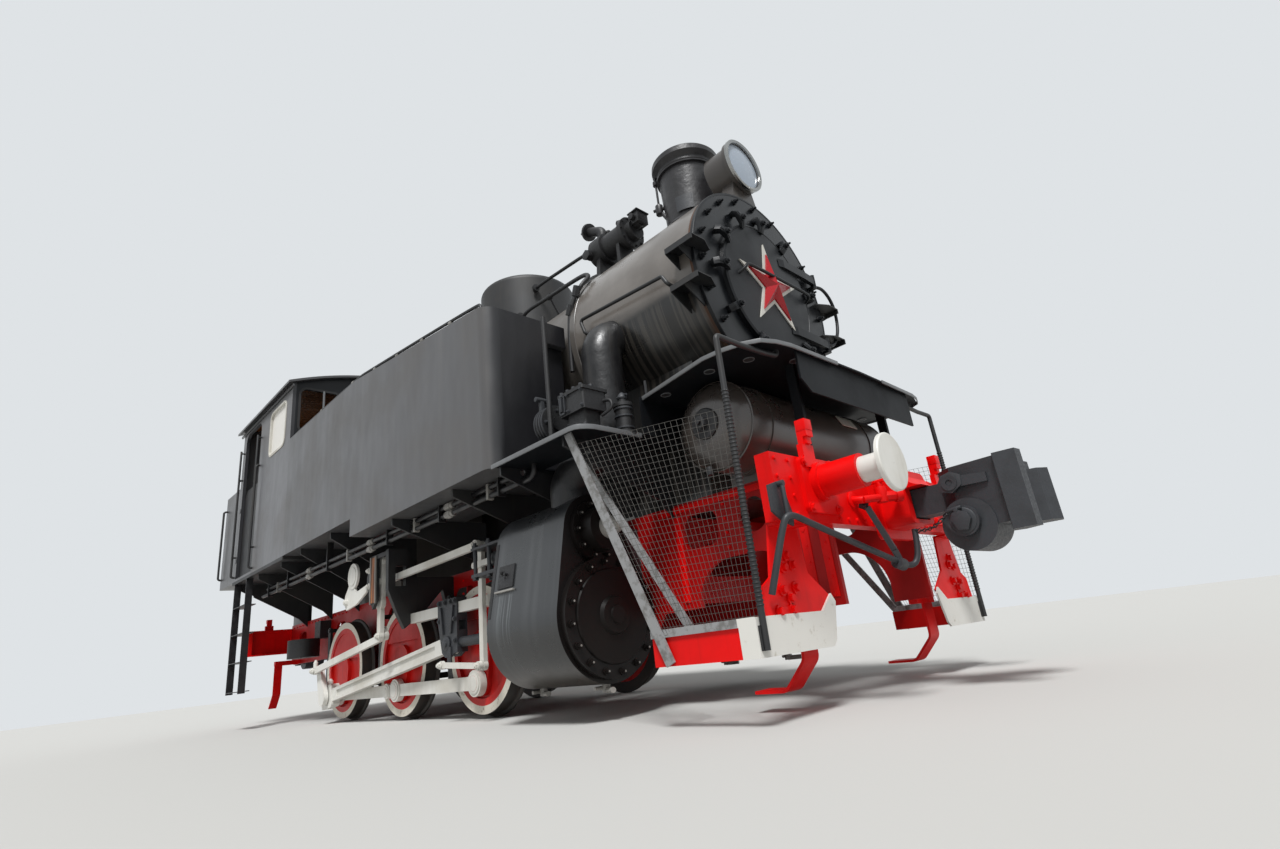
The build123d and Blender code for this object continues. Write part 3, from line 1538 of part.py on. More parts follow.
# Handrails of the cab, the smokebox and the front corners, and the smokebox side steps
RAIL_Y = SIDE_Y + 46
SIDE_RAILS = (
    # x, low z, high z
    (-3060, 1930, 3300),
    (-3885, 1930, 3300),
    (-4590, 2000, 3000),
)
FRONT_RAIL = (
    (4557, 1372, 330),
    (4557, 1360, 1905),
    (4552, 1144, 1905),
    (4563, 926, 1905),
    (4579, 830, 1905),
    (4579, 830, DECK_Z - 12),
)
SMOKE_RAIL = (
    (3895, 790, 2715),
    (3880, 872, 2740),
    (3840, 872, 2815),
    (2945, 872, 2888),
    (2990, 872, 2760),
    (3020, 790, 2725),
)
SHELVES = (2645, 2935)
with BuildPart() as handrails:
    for x, low, high in SIDE_RAILS:
        route = ((x, SIDE_Y, low), (x, RAIL_Y, low), (x, RAIL_Y, high), (x, SIDE_Y, high))
        add(round_bar(route, 14, 30))
    add(round_bar(FRONT_RAIL, 16, 24))
    with BuildSketch(cross(PLATE_X + 12)):
        with Locations((1372, 385)):
            Rectangle(44, 110)
    extrude(amount=12)
    add(round_bar(SMOKE_RAIL, 14, 24))
    for z in SHELVES:
        with BuildSketch(level(z - 8)):
            with BuildLine():
                Polyline(
                    (3962, 760),
                    (3962, 950),
                    (4205, 950),
                    (4205, 810),
                    (4150, 690),
                    (SMOKE_FRONT, 690),
                    (SMOKE_FRONT, 760),
                    close=True,
                )
            make_face()
        extrude(amount=8)
        with BuildSketch(level(z - 42)):
            with Locations(((3962 + 4205) / 2, 946)):
                Rectangle(4205 - 3962, 8)
        extrude(amount=42)
        for x in (3962, 4080):
            with BuildSketch(cross(x)):
                with BuildLine():
                    Polyline((760, z - 150), (950, z - 42), (950, z), (760, z), close=True)
                make_face()
            extrude(amount=8)
    with BuildSketch(cross(SMOKE_REAR)):
        with Locations((0, BOILER_Z)):
            Circle(SMOKE_R)
    extrude(amount=SMOKE_FRONT - SMOKE_REAR, mode=Mode.SUBTRACT)
    mirror(about=Plane.XZ)
save(handrails, "handrails")

# Brake gear: shoes and hangers behind each wheel, cross beams, and the brake cylinders
SHOE_R = TREAD_R + 8
SHOE_T = 55
HANGER_BACK = 612
HANGER_LOW = 310
HANGER_HIGH = 1070
CROSS_BEAM_Z = 365
HANGER_PIN_Z = 1035
BRAKE_CYL = (-3060, 880)
with BuildPart() as brake_gear:
    for x in AXLE_X.values():
        with BuildSketch(side(850)):
            with BuildLine():
                CenterArc((x, AXLE_Z), SHOE_R, 158, 44)
                CenterArc((x, AXLE_Z), SHOE_R + SHOE_T, 158, 44)
                for angle in (158, 202):
                    Line(
                        PolarLine((x, AXLE_Z), SHOE_R, angle, mode=Mode.PRIVATE) @ 1,
                        PolarLine((x, AXLE_Z), SHOE_R + SHOE_T, angle, mode=Mode.PRIVATE) @ 1,
                    )
            make_face()
        extrude(amount=85)
        with BuildSketch(side(820)):
            with Locations((x - HANGER_BACK, (HANGER_LOW + HANGER_HIGH) / 2)):
                RectangleRounded(70, HANGER_HIGH - HANGER_LOW, 34)
        extrude(amount=30)
        with BuildSketch(side(800)):
            with Locations((x - HANGER_BACK, CROSS_BEAM_Z)):
                Rectangle(50, 60)
        extrude(amount=1600)
        with BuildSketch(side(830)):
            with Locations((x - HANGER_BACK, HANGER_PIN_Z)):
                Circle(24)
        extrude(amount=830 - FRAME_OUT)
    with BuildSketch(level(775)):
        with Locations(BRAKE_CYL):
            Circle(190)
    extrude(amount=225)
    with BuildSketch(side(720)):
        with Locations((BRAKE_CYL[0], 1110)):
            Rectangle(200, 220)
    extrude(amount=720 - FRAME_OUT)
    mirror(about=Plane.XZ)
save(brake_gear, "brake_gear")
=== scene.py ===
"""Looks of a steam tank locomotive: paint, bolts, glass, star, mesh guards, hoses and stage."""

import math

import bmesh
import bpy
from mathutils import Matrix, Vector


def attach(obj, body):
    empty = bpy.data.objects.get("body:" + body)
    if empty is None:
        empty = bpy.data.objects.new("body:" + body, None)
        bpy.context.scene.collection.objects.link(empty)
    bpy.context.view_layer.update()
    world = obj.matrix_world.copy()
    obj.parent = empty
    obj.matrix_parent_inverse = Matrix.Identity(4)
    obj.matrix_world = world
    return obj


bl_info = {
    "name": "Steam tank locomotive",
    "version": (1, 0, 0),
    "blender": (4, 5, 0),
    "location": "View3D > Sidebar > Locomotive",
    "description": "Finishes and fittings of a six-coupled tank locomotive around its CAD frame",
    "category": "Object",
}

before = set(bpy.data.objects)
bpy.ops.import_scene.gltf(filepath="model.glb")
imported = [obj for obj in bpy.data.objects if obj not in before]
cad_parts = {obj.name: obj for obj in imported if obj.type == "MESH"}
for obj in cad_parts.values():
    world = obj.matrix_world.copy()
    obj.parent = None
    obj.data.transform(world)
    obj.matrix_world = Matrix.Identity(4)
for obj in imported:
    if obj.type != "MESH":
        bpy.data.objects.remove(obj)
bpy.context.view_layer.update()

# Driving places, in metres, in the frame's own axes
BOILER_Z = 2.847
SMOKE_R = 0.815
SMOKE_FACE_X = 4.109
DOOR_RIM_X = 4.110
DOOR_FACE_X = 4.162
DOOR_R = 0.535
LAMP_X = 4.135
LAMP_Z = 4.005
CYL_Y, CYL_Z = 0.997, 0.622
CHEST_Y, CHEST_Z = 1.050, 1.178
CYL_FRONT = 3.080
AXLE_X = {"rear_wheelset": -1.725, "middle_wheelset": -0.225, "front_wheelset": 1.275}
AXLE_Z = 0.553
CRANK_R = 0.270
BEAM_FACE_X = 4.642
FRAME_Y = 0.582
CHIMNEY_X = 3.560
RESERVOIR_X, RESERVOIR_Z = 4.080, 1.630
GENERATOR_Y = -0.200
DRUM_Y, DRUM_Z = -1.330, 1.880
SIDES = (("right", -1), ("left", 1))
CRANK_TURN = {"right": math.radians(270), "left": 0.0}

# Places on the rods and gear of each side, as X and Z
MOTION = {
    "right": {
        "big": (-1.725, 0.283), "eye": (-1.843, 0.576), "foot": (0.000, 0.790), "arm": (1.103, 0.454),
        "lever_foot": (1.690, 0.415), "knuckle": (-0.415, 0.283), "cross": 1.054,
    },
    "left": {
        "big": (-1.455, 0.553), "eye": (-1.748, 0.435), "foot": (0.073, 0.790), "arm": (1.393, 0.454),
        "lever_foot": (1.980, 0.415), "knuckle": (-0.145, 0.553), "cross": 1.344,
    },
}

# Camera, as fitted to the photograph's 1280 by 849 frame
CAMERA_PLACE = (6.368, -3.888, 0.412)
CAMERA_FORWARD = (-0.65689, 0.68115, 0.32332)
CAMERA_RIGHT = (0.68729, 0.71727, -0.11474)
CAMERA_UP = (0.31006, -0.14684, 0.93931)
CAMERA_LENS_MM = 18.147


def colour(name, text, default):
    """A colour property given as an sRGB hex value."""
    return bpy.props.FloatVectorProperty(
        name=name, description=text, subtype="COLOR", size=4, min=0, max=1, default=linear(default)
    )


def length(name, text, default):
    """A length property in metres."""
    return bpy.props.FloatProperty(name=name, description=text, default=default, min=0.0005, unit="LENGTH")


def linear(text):
    """Linear RGBA of an sRGB hex value such as #b5191a."""
    parts = [int(text[i : i + 2], 16) / 255 for i in (1, 3, 5)]
    return tuple(p / 12.92 if p <= 0.04045 else ((p + 0.055) / 1.055) ** 2.4 for p in parts) + (1.0,)


class LocoPaint(bpy.types.PropertyGroup):
    """Colours of the locomotive's paints."""

    black: colour("Body black", "Tanks, cab and bunker", "#3f3f41")
    # The boiler black is lightened to grey-brown as painted sky reflection on the top of the boiler.
    boiler: colour("Boiler black", "Boiler clothing and smokebox drum", "#57534f")
    front: colour("Front black", "Smokebox front and door", "#111316")
    red: colour("Frame red", "Beams, gussets and guards", "#e00505")
    white: colour("Motion white", "Rods, buffers and steps", "#d6d5cf")
    cast: colour("Cast grey", "Couplers and small castings", "#2e3034")
    # The board brown is partly painted light: lightened to make up for the dim light under the cab roof; the
    # oiled strips share it.
    brown: colour("Board brown", "Boards in the cab and oiled strips", "#a9673a")


class LocoFittings(bpy.types.PropertyGroup):
    """Sizes of the repeated fittings."""

    bolt: length("Bolt radius", "Radius over the corners of a bolt head", 0.017)
    rivet: length("Rivet radius", "Radius of a rivet head", 0.011)
    wire: length("Wire diameter", "Wire of the mesh guards", 0.0023)
    mesh: length("Mesh width", "Spacing of the wires in the guards", 0.037)
    glass: length("Glass thickness", "Thickness of the window panes", 0.006)


class LocoStage(bpy.types.PropertyGroup):
    """Stage around the locomotive."""

    floor: colour("Floor", "Colour of the plain floor", "#bdbdba")
    sky: colour("Backdrop", "Colour seen behind the locomotive", "#dfe3e6")
    world: bpy.props.FloatProperty(name="World light", description="Light from all round", default=0.42, min=0)
    key: bpy.props.FloatProperty(name="Key light", description="Strength of the soft sun", default=3.6, min=0)


# Materials

# Finishes by name, and the brown that shows where paint has lifted
MATERIALS = {}
CHIP = "#5a3a26"


def set_inputs(tree, node, links):
    """Set a node's inputs from (input, value) pairs; a node as value gives its first live output."""
    for key, value in links:
        live = [s for s in node.inputs if s.name == key and s.enabled]
        socket = live[0] if live else node.inputs[key]
        if isinstance(value, bpy.types.Node):
            value = [s for s in value.outputs if s.enabled][0]
        if isinstance(value, bpy.types.NodeSocket):
            tree.links.new(value, socket)
        else:
            socket.default_value = linear(value) if str(value).startswith("#") else value


def add_node(tree, kind, links=(), **settings):
    """Add a node; links are (input, value) pairs and settings are its own attributes."""
    made = tree.nodes.new(kind)
    for key, value in settings.items():
        setattr(made, key, value)
    set_inputs(tree, made, links)
    return made


def new_material(name):
    """Tree and Principled shader of a new material, kept by name."""
    made = bpy.data.materials.new(name)
    made.use_nodes = True
    made.node_tree.nodes.clear()
    shader = add_node(made.node_tree, "ShaderNodeBsdfPrincipled")
    add_node(made.node_tree, "ShaderNodeOutputMaterial", [("Surface", shader)])
    MATERIALS[name] = made
    return made.node_tree, shader


def axes(tree, output="Object"):
    """X, Y and Z of the place on the locomotive, or of the way that the surface faces."""
    place = add_node(tree, "ShaderNodeTexCoord").outputs[output]
    return add_node(tree, "ShaderNodeSeparateXYZ", [("Vector", place)]).outputs


def noise(tree, size_mm, detail=4, rough=0.55, stretch=(1, 1, 1)):
    """Noise on the object's own coordinates with a grain of size_mm; stretch lengthens it along an axis."""
    place = add_node(tree, "ShaderNodeTexCoord").outputs["Object"]
    mapped = add_node(tree, "ShaderNodeMapping", [("Vector", place), ("Scale", tuple(1 / s for s in stretch))])
    return add_node(
        tree,
        "ShaderNodeTexNoise",
        [("Vector", mapped), ("Scale", 1000 / size_mm), ("Detail", detail), ("Roughness", rough)],
    )


def fade(tree, amount, *bands, least=0.0):
    """Smooth steps, one on the other, from least to amount; each band is (value, start, end)."""
    for value, start, end in bands:
        links = [("Value", value), ("From Min", start), ("From Max", end)]
        links += [("To Min", least), ("To Max", amount)]
        amount = add_node(tree, "ShaderNodeMapRange", links, interpolation_type="SMOOTHSTEP")
    return amount


def stain(tree, under, over, amount, *bands):
    """One colour over another, as far as the bands let it show."""
    links = [("Factor", fade(tree, amount, *bands)), ("A", under), ("B", over)]
    return add_node(tree, "ShaderNodeMix", links, data_type="RGBA")


def relief(tree, height, distance_mm, strength=1.0):
    """Small relief of a height field, in millimetres."""
    links = [("Height", height), ("Distance", distance_mm / 1000), ("Strength", strength)]
    return add_node(tree, "ShaderNodeBump", links)


def enamel(name, paint, grime, rough, wear, peel_mm=0.5, streaks=0.35, shine=0.5):
    """Brush-painted enamel on steel: soft gloss, faint runs down the sheet, grime and small lifted spots."""
    tree, shader = new_material(name)
    blotch = noise(tree, 620, 5, 0.6)
    dirty = stain(tree, paint, grime, 0.45, (blotch, 0.40, 0.70))
    streaked = stain(tree, dirty, grime, streaks, (noise(tree, 55, 3, 0.6, (1, 1, 26)), 0.50, 0.78))
    links = [
        ("Base Color", stain(tree, streaked, CHIP, wear, (noise(tree, 38, 6, 0.7), 0.70, 0.76))),
        ("Roughness", fade(tree, rough + 0.14, (blotch, 0.30, 0.75), least=rough - 0.07)),
        ("Specular IOR Level", shine),
        ("Normal", relief(tree, noise(tree, 9, 3, 0.6), peel_mm, 0.35)),
    ]
    set_inputs(tree, shader, links)


def tank_enamel_with_painted_light(name, paint, front, grime):
    """Tank sheets: grey-black with long dents down the side; the grey is lightened as painted sky sheen, and
    faces that look ahead take a darker colour as painted shade.
    """
    tree, shader = new_material(name)
    blotch = noise(tree, 700, 5, 0.6)
    dirty = stain(tree, paint, grime, 0.5, (blotch, 0.40, 0.70))
    streaked = stain(tree, dirty, "#5a5755", 0.22, (noise(tree, 70, 3, 0.6, (1, 1, 30)), 0.50, 0.75))
    chipped = stain(tree, streaked, CHIP, 0.25, (noise(tree, 46, 6, 0.7), 0.71, 0.77))
    links = [
        # Painted shade: faces whose normal looks ahead (+X) take the dark front colour.
        ("Base Color", stain(tree, chipped, front, 1.0, (axes(tree, "Normal")["X"], 0.55, 0.85))),
        ("Roughness", fade(tree, 0.46, (blotch, 0.30, 0.75), least=0.30)),
        ("Specular IOR Level", 0.6),
        ("Normal", relief(tree, noise(tree, 380, 2, 0.5, (1, 1, 2.5)), 30, 0.6)),
    ]
    set_inputs(tree, shader, links)


def cylinder_enamel(name, paint, grime):
    """Cylinder clothing: glossy black, pale runs below the indicator plate, painted shade over its lower part,
    brown dust underneath.
    """
    tree, shader = new_material(name)
    where = axes(tree)
    x, z = where["X"], where["Z"]
    blotch = noise(tree, 420, 4, 0.6)
    run = noise(tree, 12, 2, 0.5, (1, 90, 90))
    dirty = stain(tree, paint, grime, 0.4, (blotch, 0.4, 0.7))
    soft = stain(tree, dirty, "#4b4d4f", 0.35, (noise(tree, 90, 2, 0.5, (1, 60, 60)), 0.45, 0.7))
    under_plate = ((run, 0.47, 0.58), (x, 2.36, 2.40), (x, 2.58, 2.54), (z, 0.88, 0.84))
    marked = stain(tree, soft, "#6f7577", 0.45, *under_plate)
    # Painted shade: darker from z 0.80 down to 0.45, towards the bottom of the clothing.
    dim = stain(tree, marked, "#131415", 0.8, (z, 0.80, 0.45))
    dusty = stain(tree, dim, "#453e37", 0.6, (z, 0.40, 0.24))
    links = [
        ("Base Color", stain(tree, dusty, "#151211", 1.0, (x, 3.076, 3.081))),
        ("Roughness", fade(tree, 0.42, (blotch, 0.30, 0.75), least=0.24)),
        ("Specular IOR Level", fade(tree, 0.2, (x, 3.076, 3.081), least=0.7)),
        ("Normal", relief(tree, noise(tree, 9, 3, 0.6), 0.4, 0.3)),
    ]
    set_inputs(tree, shader, links)


def smokebox_enamel(name, paint, front, grime):
    """Smokebox paint: grey-black drum lightened as painted sky reflection, painted shade over its lower half,
    thin runs down its lower half, rust beside the front plate.
    """
    tree, shader = new_material(name)
    where = axes(tree)
    x, z = where["X"], where["Z"]
    blotch = noise(tree, 480, 4, 0.6)
    run = noise(tree, 22, 1, 0.4, (1, 90, 90))
    low, plate = (z, 2.74, 2.66), (x, 4.098, 4.104)
    worn = stain(tree, paint, grime, 0.4, (blotch, 0.4, 0.7))
    # Painted shade: the drum turns near black below z 2.74.
    shaded = stain(tree, worn, "#1b1a19", 1.0, (z, 2.74, 2.68))
    streaked = stain(tree, shaded, "#45413c", 0.7, (run, 0.46, 0.62), low)
    patchy = fade(tree, 1.0, (blotch, 0.35, 0.6), least=0.3)
    rusted = stain(tree, streaked, "#4a3526", patchy, (x, 4.02, 4.07), low)
    links = [
        ("Base Color", stain(tree, rusted, front, 1.0, plate)),
        ("Roughness", fade(tree, 0.42, (blotch, 0.30, 0.75), least=0.26)),
        ("Coat Weight", fade(tree, 0.1, plate, least=0.35)),
        ("Specular IOR Level", fade(tree, 0.3, plate, least=0.5)),
        ("Coat Roughness", 0.2),
        ("Normal", relief(tree, noise(tree, 9, 3, 0.6), 0.5, 0.3)),
    ]
    set_inputs(tree, shader, links)


def steps_paint(name, white):
    """Steps: white front plates, worn grey stays behind them and black ladders at the cab."""
    tree, shader = new_material(name)
    along = axes(tree)["X"]
    wear = noise(tree, 60, 5, 0.65)
    grey = stain(tree, "#8c8d8e", "#6b6a68", 1.0, (wear, 0.45, 0.65))
    plate = stain(tree, white, "#a39c8c", 0.6, (wear, 0.58, 0.75))
    front = stain(tree, grey, plate, 1.0, (along, 4.43, 4.435))
    links = [
        ("Base Color", stain(tree, "#1b1b1d", front, 1.0, (along, 0.0, 0.01))),
        ("Roughness", fade(tree, 0.55, (wear, 0.3, 0.7), least=0.35)),
        ("Normal", relief(tree, wear, 0.8, 0.4)),
    ]
    set_inputs(tree, shader, links)


def rough_paint(name, paint, grime, rough, field, low_high, grime_field, height_mm):
    """Paint on a lumpy skin: roughness and relief follow the one field, grime follows the other."""
    tree, shader = new_material(name)
    skin, dirt = noise(tree, *field), noise(tree, *grime_field)
    links = [
        ("Base Color", stain(tree, paint, grime, 0.5, (dirt, *low_high))),
        ("Roughness", fade(tree, rough[1], (skin, 0.3, 0.7), least=rough[0])),
        ("Normal", relief(tree, skin, height_mm, 0.5)),
    ]
    set_inputs(tree, shader, links)


def cast_paint(name, paint, grime, rough):
    """Painted casting: coarse sand-cast skin under thick paint."""
    rough_paint(name, paint, grime, (rough - 0.1, rough + 0.15), (14, 6, 0.65), (0.4, 0.7), (90, 3, 0.5), 1.6)


def hammered(name, paint, grime, rough):
    """Old sheet steel under many coats: dents and lumps that catch the light, grime in runs."""
    runs = (60, 3, 0.6, (1, 1, 10))
    rough_paint(name, paint, grime, (rough - 0.08, rough + 0.12), (130, 4, 0.6), (0.45, 0.7), runs, 14)


def tyre_steel(name, face, tread):
    """Steel tyre: its outer face is painted white, its tread and flange are dark and worn."""
    tree, shader = new_material(name)
    across, facing = [
        add_node(tree, "ShaderNodeMath", [(0, axes(tree, kind)["Y"])], operation="ABSOLUTE")
        for kind in ("Object", "Normal")
    ]
    rust = noise(tree, 45, 5, 0.65)
    chalk = stain(tree, face, "#6a5240", 0.75, (rust, 0.55, 0.72))
    dark = stain(tree, tread, "#3a2a20", 0.6, (rust, 0.4, 0.7))
    links = [
        ("Base Color", stain(tree, dark, chalk, 1.0, (across, 0.846, 0.852), (facing, 0.7, 0.8))),
        ("Roughness", 0.5),
        ("Normal", relief(tree, noise(tree, 12, 4, 0.6), 0.6, 0.4)),
    ]
    set_inputs(tree, shader, links)


def board(name, paint):
    """Varnished boards with grain along them."""
    tree, shader = new_material(name)
    grain = noise(tree, 30, 6, 0.65, (1, 1, 14))
    links = [
        ("Base Color", stain(tree, paint, "#2f1a0d", 1.0, (grain, 0.35, 0.7))),
        ("Roughness", 0.55),
        ("Normal", relief(tree, grain, 1.0, 0.5)),
    ]
    set_inputs(tree, shader, links)


def glass(name, tint, rough=0.05, clear=0.8):
    """Window glass with a film of dust."""
    tree, shader = new_material(name)
    links = [
        ("Base Color", tint),
        ("Transmission Weight", clear),
        ("IOR", 1.5),
        ("Roughness", fade(tree, rough + 0.12, (noise(tree, 160, 4, 0.6), 0.3, 0.7), least=rough)),
    ]
    set_inputs(tree, shader, links)


def bright_metal(name, tone, rough):
    """Bare or plated metal with fine brushing."""
    tree, shader = new_material(name)
    brushed = noise(tree, 6, 4, 0.6, (8, 1, 1))
    links = [
        ("Metallic", 1.0),
        ("Base Color", stain(tree, tone, "#6b6a68", brushed)),
        ("Roughness", fade(tree, rough + 0.1, (brushed, 0.3, 0.7), least=rough - 0.08)),
    ]
    set_inputs(tree, shader, links)


def make_materials(paint):
    """All finishes, from the paint colours of the property group."""
    soot = "#161513"
    enamel("enamel_body_black", paint.black, "#4a4744", 0.36, 0.2, shine=0.75)
    # Boiler and smokebox drum greys are lightened as painted sky reflection on their tops.
    enamel("enamel_boiler_black", paint.boiler, "#443d36", 0.34, 0.3, shine=0.7)
    smokebox_enamel("enamel_smokebox_black", "#6c6762", paint.front, "#3a342e")
    enamel("enamel_front_black", paint.front, "#17181a", 0.42, 0.15, streaks=0.2, shine=0.3)
    # Tanks, bunker and cab sides: the light greys are partly painted sky sheen, and the second colour is
    # painted shade on faces that look ahead.
    tank_enamel_with_painted_light("enamel_tank_black", "#48484a", "#1a1a1d", "#504d4a")
    tank_enamel_with_painted_light("enamel_cab_black", "#555558", "#2a2a2d", "#5d5a57")
    cylinder_enamel("enamel_cylinder_black", "#26282a", "#35363a")
    enamel("enamel_cover_brown_black", "#120f0e", "#1c1613", 0.42, 0.15, shine=0.2)
    enamel("enamel_deck_black", "#1d1e20", "#33302c", 0.5, 0.3)
    enamel("enamel_frame_red", paint.red, "#9a0d08", 0.42, 0.12, streaks=0.2, shine=0.2)
    enamel("enamel_reservoir_black", "#3a3532", "#483e35", 0.30, 0.3, shine=0.9)
    enamel("enamel_lamp_black", "#3d3936", "#4a3c30", 0.36, 0.3, shine=0.6)
    enamel("enamel_valance_black", paint.front, "#1a1a1a", 0.5, 0.2, shine=0.12)
    hammered("lagged_pipe_black", "#151517", "#262320", 0.4)
    enamel("enamel_star_red", "#a00c18", "#6d0a10", 0.30, 0.1, streaks=0.1, shine=0.4)
    # A darker copy of the frame red for the main frame plates, as painted shade under the deck.
    enamel("enamel_frame_red_painted_shade", "#a80505", "#6a0a06", 0.42, 0.15, streaks=0.2, shine=0.25)
    enamel("enamel_wheel_red", "#bf1510", "#6a130e", 0.45, 0.3, shine=0.3)
    enamel("enamel_white", paint.white, "#a39c8c", 0.38, 0.3, streaks=0.25)
    enamel("enamel_light_edge", "#66686a", "#4a4a48", 0.45, 0.4)
    steps_paint("steps_white_and_black", paint.white)
    hammered("old_sheet_black", "#262527", soot, 0.4)
    cast_paint("painted_casting_dark", paint.cast, "#1f2022", 0.5)
    cast_paint("painted_casting_black", "#1c1c1e", soot, 0.5)
    tyre_steel("tyre_steel_painted", "#cfcabd", "#2b2826")
    # The boards' brown is partly painted light, lightened for the dim cab ceiling.
    board("varnished_board", paint.brown)
    glass("window_glass", "#dfe8e6")
    glass("frosted_glass", "#eceae4", 0.35, 0.2)
    glass("lamp_glass", "#aab6c4", 0.08, 0.25)
    bright_metal("plated_rim", "#b9bab8", 0.25)
    bright_metal("dull_wire", "#5e5a54", 0.5)
    enamel("chalky_white", "#c9c7c0", "#8d8778", 0.55, 0.45)
    enamel("rust_brown", "#4b3222", "#2a1d15", 0.75, 0.6, peel_mm=1.2)
    enamel("worn_steel", "#8f8d88", "#4d4843", 0.38, 0.5)
    enamel("rubber_hose", "#1b1b1c", "#2a2825", 0.6, 0.0)


# CAD nodes and their finishes
NODE_FINISH = {
    "enamel_tank_black": ("side_tanks", "coal_bunker"),
    # The cab sides take a lighter grey than the cab's rear and roof, as painted sky sheen.
    "enamel_cab_black": ("cab_sides",),
    "enamel_body_black": ("cab_rear", "cab_roof"),
    "enamel_boiler_black": ("boiler",),
    "enamel_reservoir_black": ("air_reservoir",),
    "enamel_smokebox_black": ("smokebox",),
    # The cab's front sheet takes the front black, a darker copy of the cab paint as painted shade.
    "enamel_front_black": ("smokebox_door", "cab_front"),
    "old_sheet_black": ("chimney",),
    "enamel_lamp_black": ("headlight",),
    "enamel_valance_black": ("front_deck",),
    "lagged_pipe_black": ("pipes",),
    "enamel_cylinder_black": ("cylinders",),
    "enamel_deck_black": (
        "domes", "cab_floor", "right_cab_door", "left_cab_door", "handrails", "motion_brackets",
        "tank_brackets", "right_filler_lid", "left_filler_lid",
    ),
    "enamel_frame_red": ("buffer_beams", "rail_guards"),
    # The main frame takes the darker red, as painted shade.
    "enamel_frame_red_painted_shade": ("main_frame",),
    "steps_white_and_black": ("steps",),
    "enamel_wheel_red": ("rear_wheelset", "middle_wheelset", "front_wheelset"),
    "tyre_steel_painted": ("rear_tyres", "middle_tyres", "front_tyres"),
    "enamel_white": (
        "right_coupling_rod", "left_coupling_rod", "main_rods", "slide_bars", "valve_gear", "buffers",
    ),
    "painted_casting_dark": ("couplers", "crossheads"),
    "painted_casting_black": ("brake_gear", "lubricators", "turbo_generator"),
}

# Mesh tools


def finish_mesh(name, bm, material, body, sharp_deg=32, bevel=0.0):
    """Make a bmesh a piece with its finish and sharp edges, and let it ride on a body."""
    bmesh.ops.remove_doubles(bm, verts=bm.verts, dist=1e-5)
    bmesh.ops.recalc_face_normals(bm, faces=bm.faces)
    if bevel:
        edges = [e for e in bm.edges if len(e.link_faces) == 2 and e.calc_face_angle(0) > math.radians(50)]
        settings = {"segments": 2, "affect": "EDGES", "profile": 0.6, "clamp_overlap": True}
        bmesh.ops.bevel(bm, geom=edges, offset=bevel, **settings)
    for face in bm.faces:
        face.smooth = True
    for edge in bm.edges:
        if len(edge.link_faces) == 2 and edge.calc_face_angle(0) > math.radians(sharp_deg):
            edge.smooth = False
    mesh = bpy.data.meshes.new(name)
    bm.to_mesh(mesh)
    bm.free()
    add_piece(name, mesh, material, body)


def add_piece(name, mesh, material, body):
    """Add a mesh as a piece of the locomotive."""
    made = bpy.data.objects.new(name, mesh)
    bpy.context.scene.collection.objects.link(made)
    if material:
        mesh.materials.clear()
        mesh.materials.append(MATERIALS[material])
    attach(made, body)


def aim(direction):
    """Rotation that turns +Z to a direction."""
    return Vector(direction).to_track_quat("Z", "Y").to_matrix().to_4x4()


def rod(bm, start, finish, radius, segments=16, end_radius=None):
    """Straight round bar between two points."""
    start, finish = Vector(start), Vector(finish)
    run = finish - start
    place = Matrix.Translation((start + finish) / 2) @ aim(run)
    end_radius = radius if end_radius is None else end_radius
    bmesh.ops.create_cone(
        bm, cap_ends=True, segments=segments, radius1=radius, radius2=end_radius, depth=run.length,
        matrix=place,
    )


def block(bm, low, high):
    """Box between two corners."""
    low, high = Vector(low), Vector(high)
    size = [abs(h - l) for h, l in zip(high, low)]
    place = Matrix.Translation((low + high) / 2) @ Matrix.Diagonal((*size, 1))
    bmesh.ops.create_cube(bm, size=1, matrix=place)


def turns(count, first=0.0):
    """Angles set evenly round a circle."""
    return [first + 2 * math.pi * i / count for i in range(count)]


def skin(bm, rings, closed=True):
    """Faces between rings of points; closed joins the last ring to the first."""
    for low, high in zip(rings, rings[1:] + (rings[:1] if closed else [])):
        for i in range(len(low)):
            j = (i + 1) % len(low)
            bm.faces.new((low[i], low[j], high[j], high[i]))


def bar(bm, rings):
    """Solid through a row of rings, closed at both ends."""
    skin(bm, rings, False)
    bm.faces.new(rings[0])
    bm.faces.new(rings[-1][::-1])


def lathe(bm, origin, axis, profile, segments=32):
    """Turned shape: profile is (distance along the axis, radius) pairs, closed at both ends."""
    place = Matrix.Translation(origin) @ aim(axis)
    rings = []
    for along, radius in profile:
        if radius < 1e-6:
            rings.append([bm.verts.new(place @ Vector((0, 0, along)))])
            continue
        ring = [Vector((radius * math.cos(t), radius * math.sin(t), along)) for t in turns(segments)]
        rings.append([bm.verts.new(place @ p) for p in ring])
    for low, high in zip(rings, rings[1:]):
        for i in range(segments):
            j = (i + 1) % segments
            corners = [low[i % len(low)], low[j % len(low)], high[j % len(high)], high[i % len(high)]]
            unique = list(dict.fromkeys(corners))
            if len(unique) > 2:
                bm.faces.new(unique)
    for ring in (rings[0], rings[-1]):
        if len(ring) > 2:
            bm.faces.new(ring)


def prism(bm, outline, shift):
    """Solid plate: an outline of 3-D points moved by a shift."""
    low = [bm.verts.new(p) for p in outline]
    high = [bm.verts.new(Vector(p) + Vector(shift)) for p in outline]
    bm.faces.new(low)
    bm.faces.new(high[::-1])
    skin(bm, [low, high], False)


